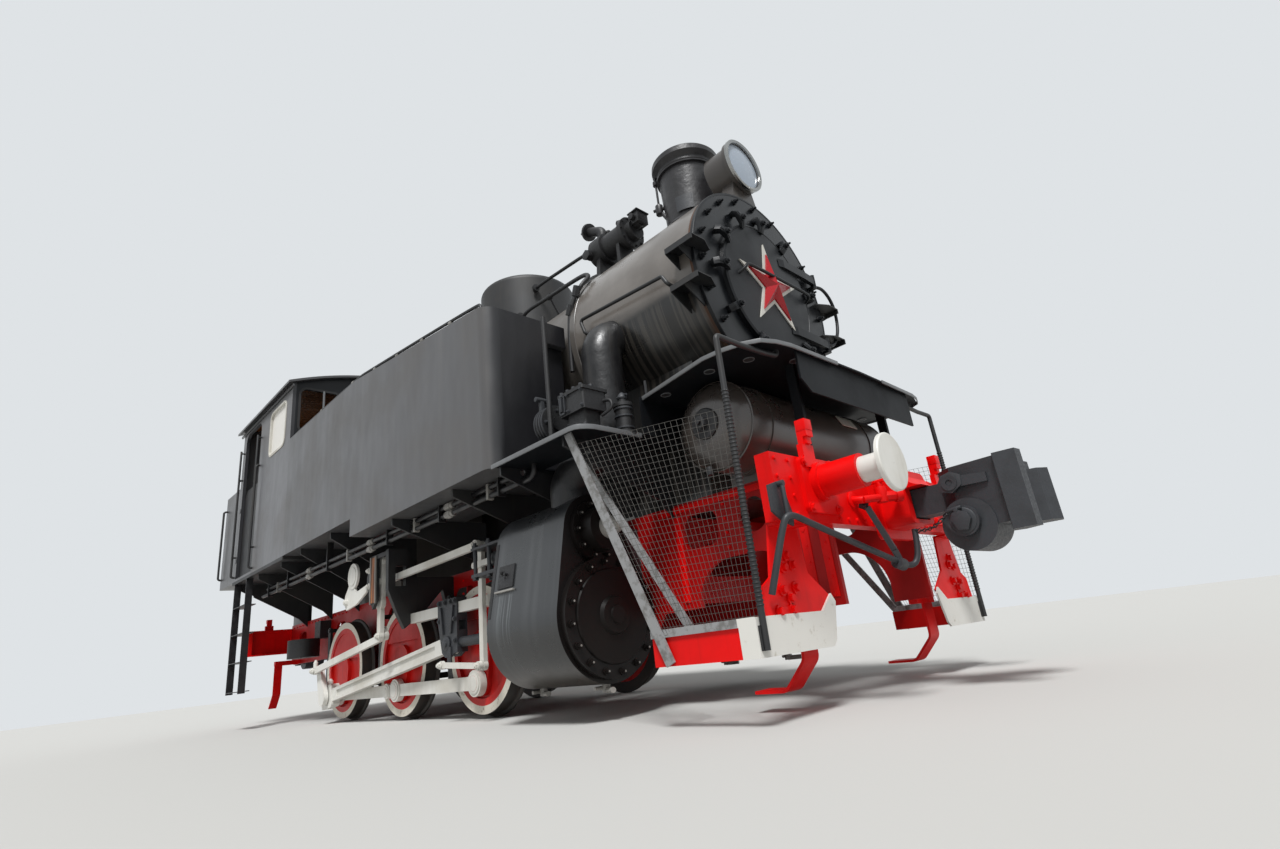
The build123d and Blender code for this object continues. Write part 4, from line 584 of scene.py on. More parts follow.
def ribbon(bm, points, low, high, inner, outer):
    """Upright strip along a level path of (x, y) points, between two heights and two offsets to its left."""
    last = len(points) - 1
    rows = []
    for i, (x, y) in enumerate(points):
        ahead = Vector(points[min(i + 1, last)]) - Vector(points[max(i - 1, 0)])
        out = Vector((-ahead.y, ahead.x)).normalized()
        near, far = (x + out.x * inner, y + out.y * inner), (x + out.x * outer, y + out.y * outer)
        rows.append([bm.verts.new((*p, z)) for p, z in ((near, low), (far, low), (far, high), (near, high))])
    bar(bm, rows)


def nut(bm, place, facing, radius, height):
    """Hexagon nut with its washer and the end of its stud."""
    facing = Vector(facing).normalized()
    place = Vector(place)
    rod(bm, place, place + facing * height * 0.25, radius * 1.35, 16)
    rod(bm, place + facing * height * 0.2, place + facing * height, radius, 6)
    rod(bm, place + facing * height * 0.9, place + facing * height * 1.35, radius * 0.55, 12)


def bent_bar(name, points, radius, material, body, resolution=8):
    """Round bar or hose along a smooth line through control points."""
    curve = bpy.data.curves.new(name, "CURVE")
    curve.dimensions = "3D"
    curve.bevel_depth = radius
    curve.bevel_resolution = 3
    curve.use_fill_caps = True
    line = curve.splines.new("NURBS")
    line.points.add(len(points) - 1)
    for point, place in zip(line.points, points):
        point.co = (*place, 1)
    line.order_u = 3
    line.use_endpoint_u = True
    line.resolution_u = resolution
    made = bpy.data.objects.new(name, curve)
    mesh = bpy.data.meshes.new_from_object(made)
    bpy.data.objects.remove(made)
    for face in mesh.polygons:
        face.use_smooth = True
    add_piece(name, mesh, material, body)


# Geometry Nodes


def new_group(name, **inputs):
    """Node group on a geometry: inputs are name and (socket kind, default) pairs, read back by name."""
    tree = bpy.data.node_groups.new(name, "GeometryNodeTree")
    inputs = {"Geometry": ("Geometry", None), **inputs, "Finish": ("Material", None)}
    for key, (kind, default) in inputs.items():
        made = tree.interface.new_socket(key.replace("_", " "), in_out="INPUT", socket_type="NodeSocket" + kind)
        if default is not None:
            made.default_value = default
    tree.interface.new_socket("Geometry", in_out="OUTPUT", socket_type="NodeSocketGeometry")
    return tree, add_node(tree, "NodeGroupInput").outputs


def paint_output(tree, geometry, finish):
    """End of a node group: its material, then its output."""
    painted = add_node(tree, "GeometryNodeSetMaterial", [("Geometry", geometry), ("Material", finish)])
    add_node(tree, "NodeGroupOutput", [("Geometry", painted)])


def heads_tree():
    """Nodes that set a six-sided head with its washer, or a round one, on every point, facing its own way."""
    sizes = {"Radius": ("Float", 0.017), "Height": ("Float", 0.014), "Washer": ("Float", 1.5)}
    tree, given = new_group("heads_on_points", **sizes, Sides=("Int", 6))

    def product(first, second):
        return add_node(tree, "ShaderNodeMath", [(0, first), (1, second)], operation="MULTIPLY")

    radius, height = given["Radius"], given["Height"]
    links = [("Vertices", given["Sides"]), ("Radius Top", product(radius, 0.86)), ("Radius Bottom", radius)]
    head = add_node(tree, "GeometryNodeMeshCone", [*links, ("Depth", height)])
    links = [("Vertices", 12), ("Radius", product(radius, given["Washer"])), ("Depth", product(height, 0.5))]
    washer = add_node(tree, "GeometryNodeMeshCylinder", links)
    both = add_node(tree, "GeometryNodeJoinGeometry", [("Geometry", head), ("Geometry", washer)])
    facing = add_node(tree, "GeometryNodeInputNamedAttribute", [("Name", "facing")], data_type="FLOAT_VECTOR")
    turned = add_node(tree, "FunctionNodeAlignRotationToVector", [("Vector", facing)], axis="Z")
    links = [("Points", given["Geometry"]), ("Instance", both), ("Rotation", turned)]
    placed = add_node(tree, "GeometryNodeInstanceOnPoints", links)
    solid = add_node(tree, "GeometryNodeRealizeInstances", [("Geometry", placed)])
    paint_output(tree, solid, given["Finish"])
    return tree


def row_tree():
    """Nodes that repeat one shape in a straight row."""
    tree, given = new_group("row_of_shapes", Count=("Int", 10), Offset=("Vector", None))
    line = add_node(tree, "GeometryNodeMeshLine", [("Count", given["Count"]), ("Offset", given["Offset"])])
    placed = add_node(tree, "GeometryNodeInstanceOnPoints", [("Points", line), ("Instance", given["Geometry"])])
    solid = add_node(tree, "GeometryNodeRealizeInstances", [("Geometry", placed)])
    paint_output(tree, solid, given["Finish"])
    return tree


def guard_tree():
    """Nodes that stretch a square wire mesh over four corner points."""
    corners = {name: ("Vector", None) for name in ("Low_Rear", "Low_Front", "High_Rear", "High_Front")}
    sizes = {"Columns": ("Int", 24), "Rows": ("Int", 24), "Wire": ("Float", 0.002)}
    tree, given = new_group("wire_guard", **corners, **sizes)
    links = [("Size X", 1.0), ("Size Y", 1.0), ("Vertices X", given["Columns"]), ("Vertices Y", given["Rows"])]
    grid = add_node(tree, "GeometryNodeMeshGrid", links)
    place = add_node(tree, "GeometryNodeInputPosition")
    parts = add_node(tree, "ShaderNodeSeparateXYZ", [("Vector", place)]).outputs
    across, up = [
        add_node(tree, "ShaderNodeMath", [(0, parts[key]), (1, 0.5)], operation="ADD") for key in "XY"
    ]

    def between(factor, first, second):
        links = [("Factor", factor), ("A", first), ("B", second)]
        return add_node(tree, "ShaderNodeMix", links, data_type="VECTOR")

    low, high = [between(across, given[row + " Rear"], given[row + " Front"]) for row in ("Low", "High")]
    links = [("Geometry", grid), ("Position", between(up, low, high))]
    moved = add_node(tree, "GeometryNodeSetPosition", links)
    lines = add_node(tree, "GeometryNodeMeshToCurve", [("Mesh", moved)])
    ring = add_node(tree, "GeometryNodeCurvePrimitiveCircle", [("Resolution", 5), ("Radius", given["Wire"])])
    links = [("Curve", lines), ("Profile Curve", ring), ("Fill Caps", True)]
    wires = add_node(tree, "GeometryNodeCurveToMesh", links)
    paint_output(tree, wires, given["Finish"])
    return tree


TREES = {}


def run_tree(name, tree_name, source, inputs, body):
    """Run a node tree on a source mesh with its inputs set by name, and keep the result as a plain mesh."""
    makers = {"heads": heads_tree, "guard": guard_tree, "row": row_tree}
    if tree_name not in TREES:
        TREES[tree_name] = makers[tree_name]()
    tree = TREES[tree_name]
    carrier = bpy.data.objects.new(name + "_source", source)
    bpy.context.scene.collection.objects.link(carrier)
    modifier = carrier.modifiers.new("nodes", "NODES")
    modifier.node_group = tree
    sockets = {s.name: s.identifier for s in tree.interface.items_tree if s.in_out == "INPUT"}
    for key, value in inputs.items():
        modifier[sockets[key]] = value
    depsgraph = bpy.context.evaluated_depsgraph_get()
    mesh = bpy.data.meshes.new_from_object(carrier.evaluated_get(depsgraph))
    mesh.name = name
    bpy.data.objects.remove(carrier)
    add_piece(name, mesh, None, body)


def heads(name, points, material, body, radius, height, sides=6, washer=1.5):
    """Bolt or rivet heads: points are (place, facing) pairs."""
    source = bpy.data.meshes.new(name + "_points")
    source.from_pydata([p for p, f in points], [], [])
    facing = source.attributes.new("facing", "FLOAT_VECTOR", "POINT")
    for item, (place, way) in zip(facing.data, points):
        item.vector = way
    inputs = {
        "Radius": radius,
        "Height": height,
        "Sides": sides,
        "Washer": washer,
        "Finish": MATERIALS[material],
    }
    run_tree(name, "heads", source, inputs, body)


def ring_points(centre, radius, count, phase=0.0):
    """Points that look ahead, on a circle in the YZ plane."""
    x, y, z = centre
    ring = [(x, y + radius * math.cos(t), z + radius * math.sin(t)) for t in turns(count, phase)]
    return [(place, (1, 0, 0)) for place in ring]


def row_points(start, finish, count, facing):
    """Evenly spaced points on a line."""
    start, finish = Vector(start), Vector(finish)
    return [(tuple(start.lerp(finish, i / (count - 1))), facing) for i in range(count)]


# Operators


class LOCO_OT_paint(bpy.types.Operator):
    """Give every CAD node its finish"""

    bl_idname = "loco.paint"
    bl_label = "Paint the frame"

    def execute(self, context):
        make_materials(context.scene.loco_paint)
        for material, names in NODE_FINISH.items():
            for name in names:
                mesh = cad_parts[name].data
                mesh.materials.clear()
                mesh.materials.append(MATERIALS[material])
        return {"FINISHED"}


class LOCO_OT_smokebox_front(bpy.types.Operator):
    """Studs and bands of the drum, clamps, bead and rail of the door, and the grab rail beside it"""

    bl_idname = "loco.smokebox_front"
    bl_label = "Smokebox front"

    def execute(self, context):
        size = context.scene.loco_fittings.bolt
        points = ring_points((SMOKE_FACE_X + 0.008, 0, BOILER_Z), 0.750, 20, phase=math.radians(16))
        heads("smokebox_front_studs", points, "enamel_front_black", "root", size * 1.15, size * 1.5, 6, 1.25)
        ends = [((x + 0.022, y, z), f) for (x, y, z), f in points]
        heads("smokebox_stud_ends", ends, "enamel_front_black", "root", size * 0.55, size * 1.3, 10, 0.9)
        for name, x, half, radius, material in (
            ("smokebox_rear_band", 2.775, 0.030, SMOKE_R + 0.007, "enamel_boiler_black"),
            ("smokebox_rust_line", 4.073, 0.012, SMOKE_R + 0.003, "rust_brown"),
            ("smokebox_front_band", 4.098, 0.013, SMOKE_R + 0.008, "enamel_front_black"),
        ):
            bm = bmesh.new()
            inner = SMOKE_R - 0.010
            ring = (
                (-half, inner), (-half, radius), (half - 0.003, radius), (half, radius - 0.003),
                (half, inner),
            )
            lathe_open(bm, (x, 0, BOILER_Z), (1, 0, 0), ring, 128)
            finish_mesh(name, bm, material, "root")
        bm = bmesh.new()
        for angle in (10, 57, 88, 116, 150, 179, 211, 243, 278, 310):
            turn = math.radians(angle)
            out = Vector((0, math.cos(turn), math.sin(turn)))
            across = Vector((0, -math.sin(turn), math.cos(turn)))
            base = Vector((0, 0, BOILER_Z))
            outline = (
                (4.112, 0.648), (4.112, 0.618), (4.148, 0.600), (4.154, 0.545), (4.150, 0.505),
                (4.166, 0.497), (4.184, 0.540), (4.188, 0.590), (4.176, 0.632), (4.142, 0.655),
            )
            for low, high, thin in ((-0.027, 0.027, 1.0), (-0.012, 0.012, 1.12)):
                flat = [(4.15 + (x - 4.15) * thin, r) for x, r in outline]
                side = [base + out * r + across * low + Vector((x, 0, 0)) for x, r in flat]
                prism(bm, side, across * (high - low))
            nut(bm, base + out * 0.575 + Vector((4.186, 0, 0)), (1, 0, 0), 0.024, 0.026)
        finish_mesh("door_clamps", bm, "enamel_front_black", "smokebox_door", bevel=0.003)
        bm = bmesh.new()
        lathe_open(
            bm, (DOOR_RIM_X + 0.03, 0, BOILER_Z), (1, 0, 0),
            ((0, DOOR_R + 0.002), (0.006, DOOR_R + 0.002), (0.012, DOOR_R - 0.012), (0, DOOR_R - 0.02)), 96,
        )
        finish_mesh("door_rim_bead", bm, "enamel_front_black", "smokebox_door")
        level = (
            (4.150, -0.390, 2.846), (4.204, -0.372, 2.870), (4.206, -0.340, 2.915), (4.206, -0.290, 2.925),
            (4.206, 0.0, 2.927), (4.206, 0.300, 2.925), (4.206, 0.480, 2.922), (4.190, 0.505, 2.900),
            (4.148, 0.505, 2.885),
        )
        bent_bar("door_level_rail", level, 0.0125, "enamel_front_black", "smokebox_door")
        bow = (
            (4.110, 0.715, 3.100), (4.150, 0.730, 3.110), (4.160, 0.860, 3.120), (4.160, 0.975, 3.020),
            (4.160, 0.985, 2.850), (4.160, 0.930, 2.690), (4.160, 0.800, 2.560), (4.150, 0.725, 2.560),
            (4.110, 0.715, 2.565),
        )
        bent_bar("front_grab_rail", bow, 0.014, "enamel_front_black", "root")
        return {"FINISHED"}


class LOCO_OT_star(bpy.types.Operator):
    """Faceted five-pointed star with a pale border on the smokebox door"""

    bl_idname = "loco.star"
    bl_label = "Door star"

    def execute(self, context):
        centre = Vector((DOOR_FACE_X - 0.006, 0, BOILER_Z))
        for name, reach, waist, rise, thick, material in (
            ("door_star_border", 0.386, 0.133, 0.0, 0.012, "chalky_white"),
            ("door_star_red", 0.290, 0.098, 0.050, 0.016, "enamel_star_red"),
        ):
            bm = bmesh.new()
            rim = []
            for i in range(10):
                radius = reach if i % 2 == 0 else waist
                turn = math.radians(90 + 36 * i)
                rim.append(Vector((0, radius * math.cos(turn), radius * math.sin(turn))))
            back = [bm.verts.new(centre + p) for p in rim]
            front = [bm.verts.new(centre + p + Vector((thick, 0, 0))) for p in rim]
            peak = bm.verts.new(centre + Vector((thick + rise, 0, 0)))
            bm.faces.new(back)
            for i in range(10):
                j = (i + 1) % 10
                bm.faces.new((back[i], back[j], front[j], front[i]))
                bm.faces.new((front[i], front[j], peak))
            finish_mesh(name, bm, material, "smokebox_door", sharp_deg=4)
            centre += Vector((thick * 0.6, 0, 0))
        return {"FINISHED"}


class LOCO_OT_lamp(bpy.types.Operator):
    """Headlight glass and its plated rim"""

    bl_idname = "loco.lamp"
    bl_label = "Headlight glass"

    def execute(self, context):
        bm = bmesh.new()
        profile = ((0, 0.199), (0.004, 0.199), (0.014, 0.12), (0.018, 0))
        lathe(bm, (LAMP_X - 0.012, 0, LAMP_Z), (1, 0, 0), profile, 48)
        finish_mesh("headlight_glass", bm, "lamp_glass", "root")
        bm = bmesh.new()
        rim = ((-0.006, 0.232), (0.014, 0.232), (0.020, 0.224), (0.014, 0.204), (-0.006, 0.202))
        lathe_open(bm, (LAMP_X, 0, LAMP_Z), (1, 0, 0), rim, 64)
        finish_mesh("headlight_rim", bm, "plated_rim", "root")
        return {"FINISHED"}


def lathe_open(bm, origin, axis, profile, segments=32):
    """Turned ring: a closed profile of (along, radius) pairs that doesn't meet the axis."""
    place = Matrix.Translation(origin) @ aim(axis)
    rings = []
    for along, radius in profile:
        ring = [Vector((radius * math.cos(t), radius * math.sin(t), along)) for t in turns(segments)]
        rings.append([bm.verts.new(place @ p) for p in ring])
    skin(bm, rings)


class LOCO_OT_cover_studs(bpy.types.Operator):
    """Studs and nuts of the cylinder and valve chest covers"""

    bl_idname = "loco.cover_studs"
    bl_label = "Cylinder cover studs"

    def execute(self, context):
        size = context.scene.loco_fittings.bolt
        points = []
        for sign in (-1, 1):
            points += ring_points((CYL_FRONT + 0.056, sign * CYL_Y, CYL_Z), 0.345, 16, phase=0.1)
            points += ring_points((CYL_FRONT + 0.046, sign * CHEST_Y, CHEST_Z), 0.178, 10)
        heads("cylinder_cover_studs", points, "enamel_cover_brown_black", "root", size * 0.9, size * 1.6)
        # Pale worn-steel stud ends: bare ends of the studs, pale enough to act as painted glints.
        ends = [((x + size * 0.9, y, z), f) for (x, y, z), f in points]
        heads("cylinder_stud_ends", ends, "worn_steel", "root", size * 0.45, size * 0.8, 10, 0.8)
        return {"FINISHED"}


class LOCO_OT_guards(bpy.types.Operator):
    """Wire mesh guards at the front corners"""

    bl_idname = "loco.guards"
    bl_label = "Wire guards"

    def execute(self, context):
        sizes = context.scene.loco_fittings
        for side, sign in SIDES:
            inputs = {
                "Low Rear": (3.965, sign * 1.402, 0.450),
                "Low Front": (4.540, sign * 1.375, 0.450),
                "High Rear": (3.470, sign * 1.497, 1.610),
                "High Front": (4.545, sign * 1.360, 1.500),
                "Columns": round((4.545 - 3.470) / sizes.mesh),
                "Rows": round((1.610 - 0.450) / sizes.mesh) + 1,
                "Wire": sizes.wire / 2,
                "Finish": MATERIALS["dull_wire"],
            }
            source = bpy.data.meshes.new(side + "_guard_source")
            run_tree(side + "_wire_guard", "guard", source, inputs, "root")
        return {"FINISHED"}


# Rows of rivets, first and last place and their number: Y and Z on the beams, X and Z on the frame plates
BEAM_RIVETS = (
    ((0.62, 0.945), (0.24, 0.945), 5), ((1.16, 0.95), (1.16, 1.23), 4), ((1.04, 0.95), (1.04, 1.23), 4),
)
FRAME_RIVETS = (
    ((3.30, 1.262), (4.50, 1.262), 13), ((3.42, 0.66), (3.42, 1.20), 6), ((3.83, 0.94), (3.83, 1.22), 4),
    ((4.38, 0.56), (4.38, 1.22), 8), ((4.50, 0.56), (4.50, 1.22), 8), ((-4.45, 1.262), (-2.45, 1.262), 17),
    ((-0.975, 0.60), (-0.975, 1.22), 6), ((0.525, 0.60), (0.525, 1.22), 6), ((2.330, 0.60), (2.330, 1.22), 6),
)


class LOCO_OT_beam_fittings(bpy.types.Operator):
    """Bolts of the gussets and housings, rivets of the beams and frame plates"""

    bl_idname = "loco.beam_fittings"
    bl_label = "Bolts and rivets of the front end"

    def execute(self, context):
        sizes = context.scene.loco_fittings
        gusset = []
        housing = []
        rivets = []
        for sign in (-1, 1):
            for y, z in ((1.133, 0.592), (1.016, 0.599), (1.077, 0.552), (1.187, 0.492), (1.075, 0.495),
                         (1.090, 0.700), (1.010, 0.712), (1.050, 0.760)):
                gusset.append(((4.532, sign * y, z), (1, 0, 0)))
            for end in (-1, 1):
                for y in (0.790 - 0.135, 0.790 + 0.135):
                    for z in (0.985, 1.237):
                        housing.append(((end * 4.664, sign * y, z), (end, 0, 0)))
                face = end * BEAM_FACE_X
                for first, last, count in BEAM_RIVETS:
                    start, finish = [(face, sign * y, z) for y, z in (first, last)]
                    rivets += row_points(start, finish, count, (end, 0, 0))
            for first, last, count in FRAME_RIVETS:
                start, finish = [(x, sign * FRAME_Y, z) for x, z in (first, last)]
                rivets += row_points(start, finish, count, (0, sign, 0))
        heads("gusset_bolts", gusset, "enamel_frame_red", "root", 0.021, 0.022, 6, 1.5)
        heads("housing_bolts", housing, "enamel_frame_red", "root", 0.020, 0.018, 6, 1.4)
        heads("frame_rivets", rivets, "enamel_frame_red", "root", sizes.rivet, sizes.rivet * 0.8, 12, 1.0)
        bm = bmesh.new()
        for sign in (-1, 1):
            for x, low, high in ((4.38, 0.545, 1.245), (4.50, 0.545, 1.245), (3.42, 0.645, 1.215)):
                block(bm, (x - 0.028, sign * 0.580, low), (x + 0.028, sign * 0.586, high))
            block(bm, (3.25, sign * 0.580, 1.243), (4.545, sign * 0.588, 1.285))
            block(bm, (4.528, sign * 1.100, 0.470), (4.536, sign * 1.215, 0.512))
        finish_mesh("frame_seam_strips", bm, "enamel_frame_red", "root", bevel=0.002)
        return {"FINISHED"}


class LOCO_OT_uncoupling(bpy.types.Operator):
    """Uncoupling lever with its brackets and chain, the coupler's lock arm, and the brake hose cocks"""

    bl_idname = "loco.uncoupling"
    bl_label = "Uncoupling gear"

    def execute(self, context):
        bm = bmesh.new()
        prism(
            bm,
            ((4.646, -1.285, 1.075), (4.646, -1.285, 0.945), (4.646, -1.215, 0.905), (4.646, -1.120, 0.880),
             (4.646, -1.105, 0.935), (4.646, -1.150, 1.065), (4.646, -1.200, 1.100)),
            (0.012, 0, 0),
        )
        rod(bm, (4.648, -1.195, 1.085), (4.690, -1.195, 1.085), 0.016)
        rod(bm, (4.680, -1.195, 1.090), (4.680, -1.195, 0.930), 0.012)
        finish_mesh("uncoupling_bracket", bm, "painted_casting_dark", "root", bevel=0.003)
        lever = ((4.560, -1.268, 0.570), (4.590, -1.262, 0.650), (4.668, -1.235, 0.880), (4.690, -1.215, 0.925),
                 (4.700, -1.150, 0.918), (4.705, -1.080, 0.895), (4.750, -0.264, 0.690), (4.762, -0.175, 0.668),
                 (4.790, -0.130, 0.680), (4.810, -0.110, 0.760), (4.815, -0.105, 0.870))
        bent_bar("uncoupling_lever", lever, 0.017, "painted_casting_dark", "root", resolution=12)
        bm = bmesh.new()
        strap = (
            (4.664, -0.400, 1.035), (4.700, -0.392, 1.010), (4.755, -0.300, 0.760), (4.760, -0.262, 0.690),
        )
        for a, b in zip(strap, strap[1:]):
            rod(bm, a, b, 0.022, 4)
        rod(bm, (4.752, -0.300, 0.690), (4.752, -0.225, 0.676), 0.034, 20)
        finish_mesh("uncoupling_strap", bm, "painted_casting_dark", "root")
        bm = bmesh.new()
        start, finish = Vector((4.815, -0.105, 0.862)), Vector((5.082, -0.258, 0.907))
        run = (finish - start).normalized()
        count = 13
        for i in range(count):
            part = (i + 0.5) / count
            mid = start.lerp(finish, part) - Vector((0, 0, 0.035 * math.sin(math.pi * part)))
            tilt = Vector((0, 0, 1)) if i % 2 else run.cross(Vector((0, 0, 1))).normalized()
            link(bm, mid, run, tilt, 0.016, 0.009, 0.0032)
        finish_mesh("uncoupling_chain", bm, "painted_casting_black", "root")
        bm = bmesh.new()
        profile = ((0, 0.070), (0.004, 0.070), (0.006, 0.064), (0.007, 0))
        lathe(bm, (5.135, -0.240, 0.845), (0, -1, 0), profile, 40)
        shield = (
            (5.083, 0.862), (5.098, 0.892), (5.136, 0.900), (5.176, 0.880), (5.186, 0.846), (5.160, 0.792),
            (5.108, 0.798),
        )
        prism(bm, [(x, -0.245, z) for x, z in shield], (0, -0.026, 0))
        rod(bm, (5.078, -0.258, 0.908), (5.150, -0.258, 0.916), 0.010, 12)
        rod(bm, (5.120, -0.240, 0.905), (5.120, -0.272, 0.905), 0.013, 12)
        lug = (
            (5.036, 1.052), (5.072, 1.108), (5.124, 1.120), (5.176, 1.092), (5.172, 1.038), (5.112, 1.002),
            (5.058, 1.018),
        )
        prism(bm, [(x, -0.195, z) for x, z in lug], (0, -0.024, 0))
        finish_mesh("coupler_lock_arm", bm, "painted_casting_dark", "root", bevel=0.004)
        bm = bmesh.new()
        for sign in (-1, 1):
            rod(bm, (4.640, sign * 0.440, 1.060), (4.652, sign * 0.440, 1.060), 0.048, 24)
            rod(bm, (4.700, sign * 0.425, 1.050), (4.762, sign * 0.290, 1.060), 0.022, 20)
            rod(bm, (4.640, sign * 0.440, 1.060), (4.708, sign * 0.430, 1.048), 0.022, 20)
            rod(bm, (4.755, sign * 0.295, 1.030), (4.755, sign * 0.295, 1.120), 0.034, 20)
            rod(bm, (4.755, sign * 0.295, 1.115), (4.755, sign * 0.295, 1.150), 0.016, 12)
            block(bm, (4.700, sign * 0.295 - 0.014, 1.146), (4.790, sign * 0.295 + 0.014, 1.158))
            rod(bm, (4.755, sign * 0.295, 1.062), (4.812, sign * 0.225, 1.062), 0.031, 8)
            rod(bm, (4.805, sign * 0.235, 1.062), (4.830, sign * 0.205, 1.062), 0.038, 20)
        finish_mesh("air_cocks", bm, "enamel_frame_red", "root", bevel=0.003)
        return {"FINISHED"}


def link(bm, middle, run, tilt, long, wide, wire):
    """Oval chain link: long and wide are half sizes to the wire's middle."""
    count, around = 14, 6
    rows = []
    side = tilt.normalized()
    for turn in turns(count):
        centre = Vector(middle) + run * long * math.cos(turn) + side * wide * math.sin(turn)
        out = (run * math.cos(turn) / long + side * math.sin(turn) / wide).normalized()
        up = run.cross(side)
        ring = [centre + (out * math.cos(a) + up * math.sin(a)) * wire for a in turns(around)]
        rows.append([bm.verts.new(p) for p in ring])
    skin(bm, rows)


# Drain holes in the deck, as X and Y of the right side; each is drawn as a pale ring of painted light round a
# black disc of painted shade
DECK_HOLES = ((3.780, 0.930), (4.180, 0.960), (4.420, 0.880), (4.560, 0.600))


class LOCO_OT_deck_fittings(bpy.types.Operator):
    """Deck and platform edges, drain holes as pale rings of painted light round black discs of painted shade,
    wrapped guard posts, lamp irons, and the reservoir's fittings
    """

    bl_idname = "loco.deck_fittings"
    bl_label = "Deck edges and reservoir fittings"

    def execute(self, context):
        bm = bmesh.new()
        deck = (
            (3.622, 1.011), (4.270, 1.130), (4.400, 1.122), (4.518, 1.087), (4.611, 1.025), (4.648, 0.930),
            (4.667, 0.810), (4.676, 0.30),
        )
        step_edge = (
            (2.655, 1.550), (3.520, 1.550), (3.562, 1.541), (3.585, 1.520), (3.608, 1.480), (3.620, 1.440),
            (3.620, 1.040),
        )
        for sign in (-1, 1):
            for path, low, high in ((deck, 1.926, 1.951), (step_edge, 1.672, 1.703)):
                points = [(x, sign * y) for x, y in path]
                ribbon(bm, points, low, high, 0.002, 0.008 * sign)
        finish_mesh("deck_light_edges", bm, "enamel_light_edge", "root", bevel=0.0015)
        bm = bmesh.new()
        for sign in (-1, 1):
            start = (RESERVOIR_X, sign * 0.945, RESERVOIR_Z)
            plug = ((0, 0.098), (0.016, 0.098), (0.022, 0.090), (0.024, 0.052), (0.030, 0.050), (0.030, 0))
            lathe(bm, start, (0, sign, 0), plug, 40)
            for near, far, radius, sides in ((0.965, 1.012, 0.044, 6), (1.005, 1.030, 0.020, 4)):
                ends = [(RESERVOIR_X, sign * y, RESERVOIR_Z) for y in (near, far)]
                rod(bm, *ends, radius, sides)
            rod(bm, (4.020, sign * 0.900, 1.380), (4.020, sign * 0.900, 1.330), 0.022, 12)
        finish_mesh("reservoir_plugs", bm, "painted_casting_black", "root", bevel=0.003)
        bm = bmesh.new()
        for y in (-0.62, 0.62):
            ring = ((-0.030, 0.279), (-0.030, 0.286), (0.030, 0.286), (0.030, 0.279))
            lathe_open(bm, (RESERVOIR_X, y, RESERVOIR_Z), (0, 1, 0), ring, 72)
        for y in (-0.848, 0.848):
            ring = ((-0.007, 0.276), (-0.004, 0.2835), (0.004, 0.2835), (0.007, 0.276))
            lathe_open(bm, (RESERVOIR_X, y, RESERVOIR_Z), (0, 1, 0), ring, 72)
        finish_mesh("reservoir_bands", bm, "enamel_reservoir_black", "root")
        bm = bmesh.new()
        out = Vector((math.cos(math.radians(27)), 0, math.sin(math.radians(27))))
        up = Vector((-out.z, 0, out.x))
        middle = Vector((RESERVOIR_X, 0.355, RESERVOIR_Z)) + out * 0.283
        corners = [
            middle + Vector((0, dy, 0)) + up * dz
            for dy, dz in ((-0.105, -0.045), (0.105, -0.045), (0.105, 0.045), (-0.105, 0.045))
        ]
        prism(bm, corners, out * 0.006)
        finish_mesh("reservoir_blank_plate", bm, "chalky_white", "root", bevel=0.001)
        # Painted light and shade: pale rings stand for the sky seen through the holes' edges, and black discs
        # for the shade in the holes.
        rings, holes = bmesh.new(), bmesh.new()
        for x, y in DECK_HOLES:
            for sign in (-1, 1):
                ring = ((-0.004, 0.030), (-0.004, 0.035), (0.002, 0.035), (0.002, 0.030))
                lathe_open(rings, (x, sign * y, 1.935), (0, 0, 1), ring, 28)
                profile = ((-0.001, 0.030), (0.001, 0.030), (0.0012, 0))
                lathe(holes, (x, sign * y, 1.934), (0, 0, -1), profile, 28)
        finish_mesh("deck_drain_rings", rings, "enamel_light_edge", "root")
        finish_mesh("deck_drain_shadows", holes, "rubber_hose", "root")
        for side, sign in SIDES:
            one = bmesh.new()
            ring = ((0, 0.013), (0.003, 0.0185), (0.007, 0.0200), (0.012, 0.0185))
            lathe_open(one, (4.557, sign * 1.3706, 0.520), (0, 0, 1), ring, 16)
            for face in one.faces:
                face.smooth = True
            mesh = bpy.data.meshes.new("wrap_turn")
            one.to_mesh(mesh)
            one.free()
            inputs = {"Count": 54, "Offset": (0, -0.00015 * sign, 0.020)}
            inputs["Finish"] = MATERIALS["painted_casting_black"]
            run_tree(side + "_post_wrap", "row", mesh, inputs, "root")
        bm = bmesh.new()
        for sign in (-1, 1):
            y = sign * 0.865
            block(bm, (4.641, y - 0.036, 1.405), (4.703, y + 0.036, 1.468))
            block(bm, (4.646, y - 0.024, 1.330), (4.690, y + 0.024, 1.420))
        finish_mesh("lamp_iron_tops", bm, "enamel_frame_red", "root", bevel=0.004)
        return {"FINISHED"}


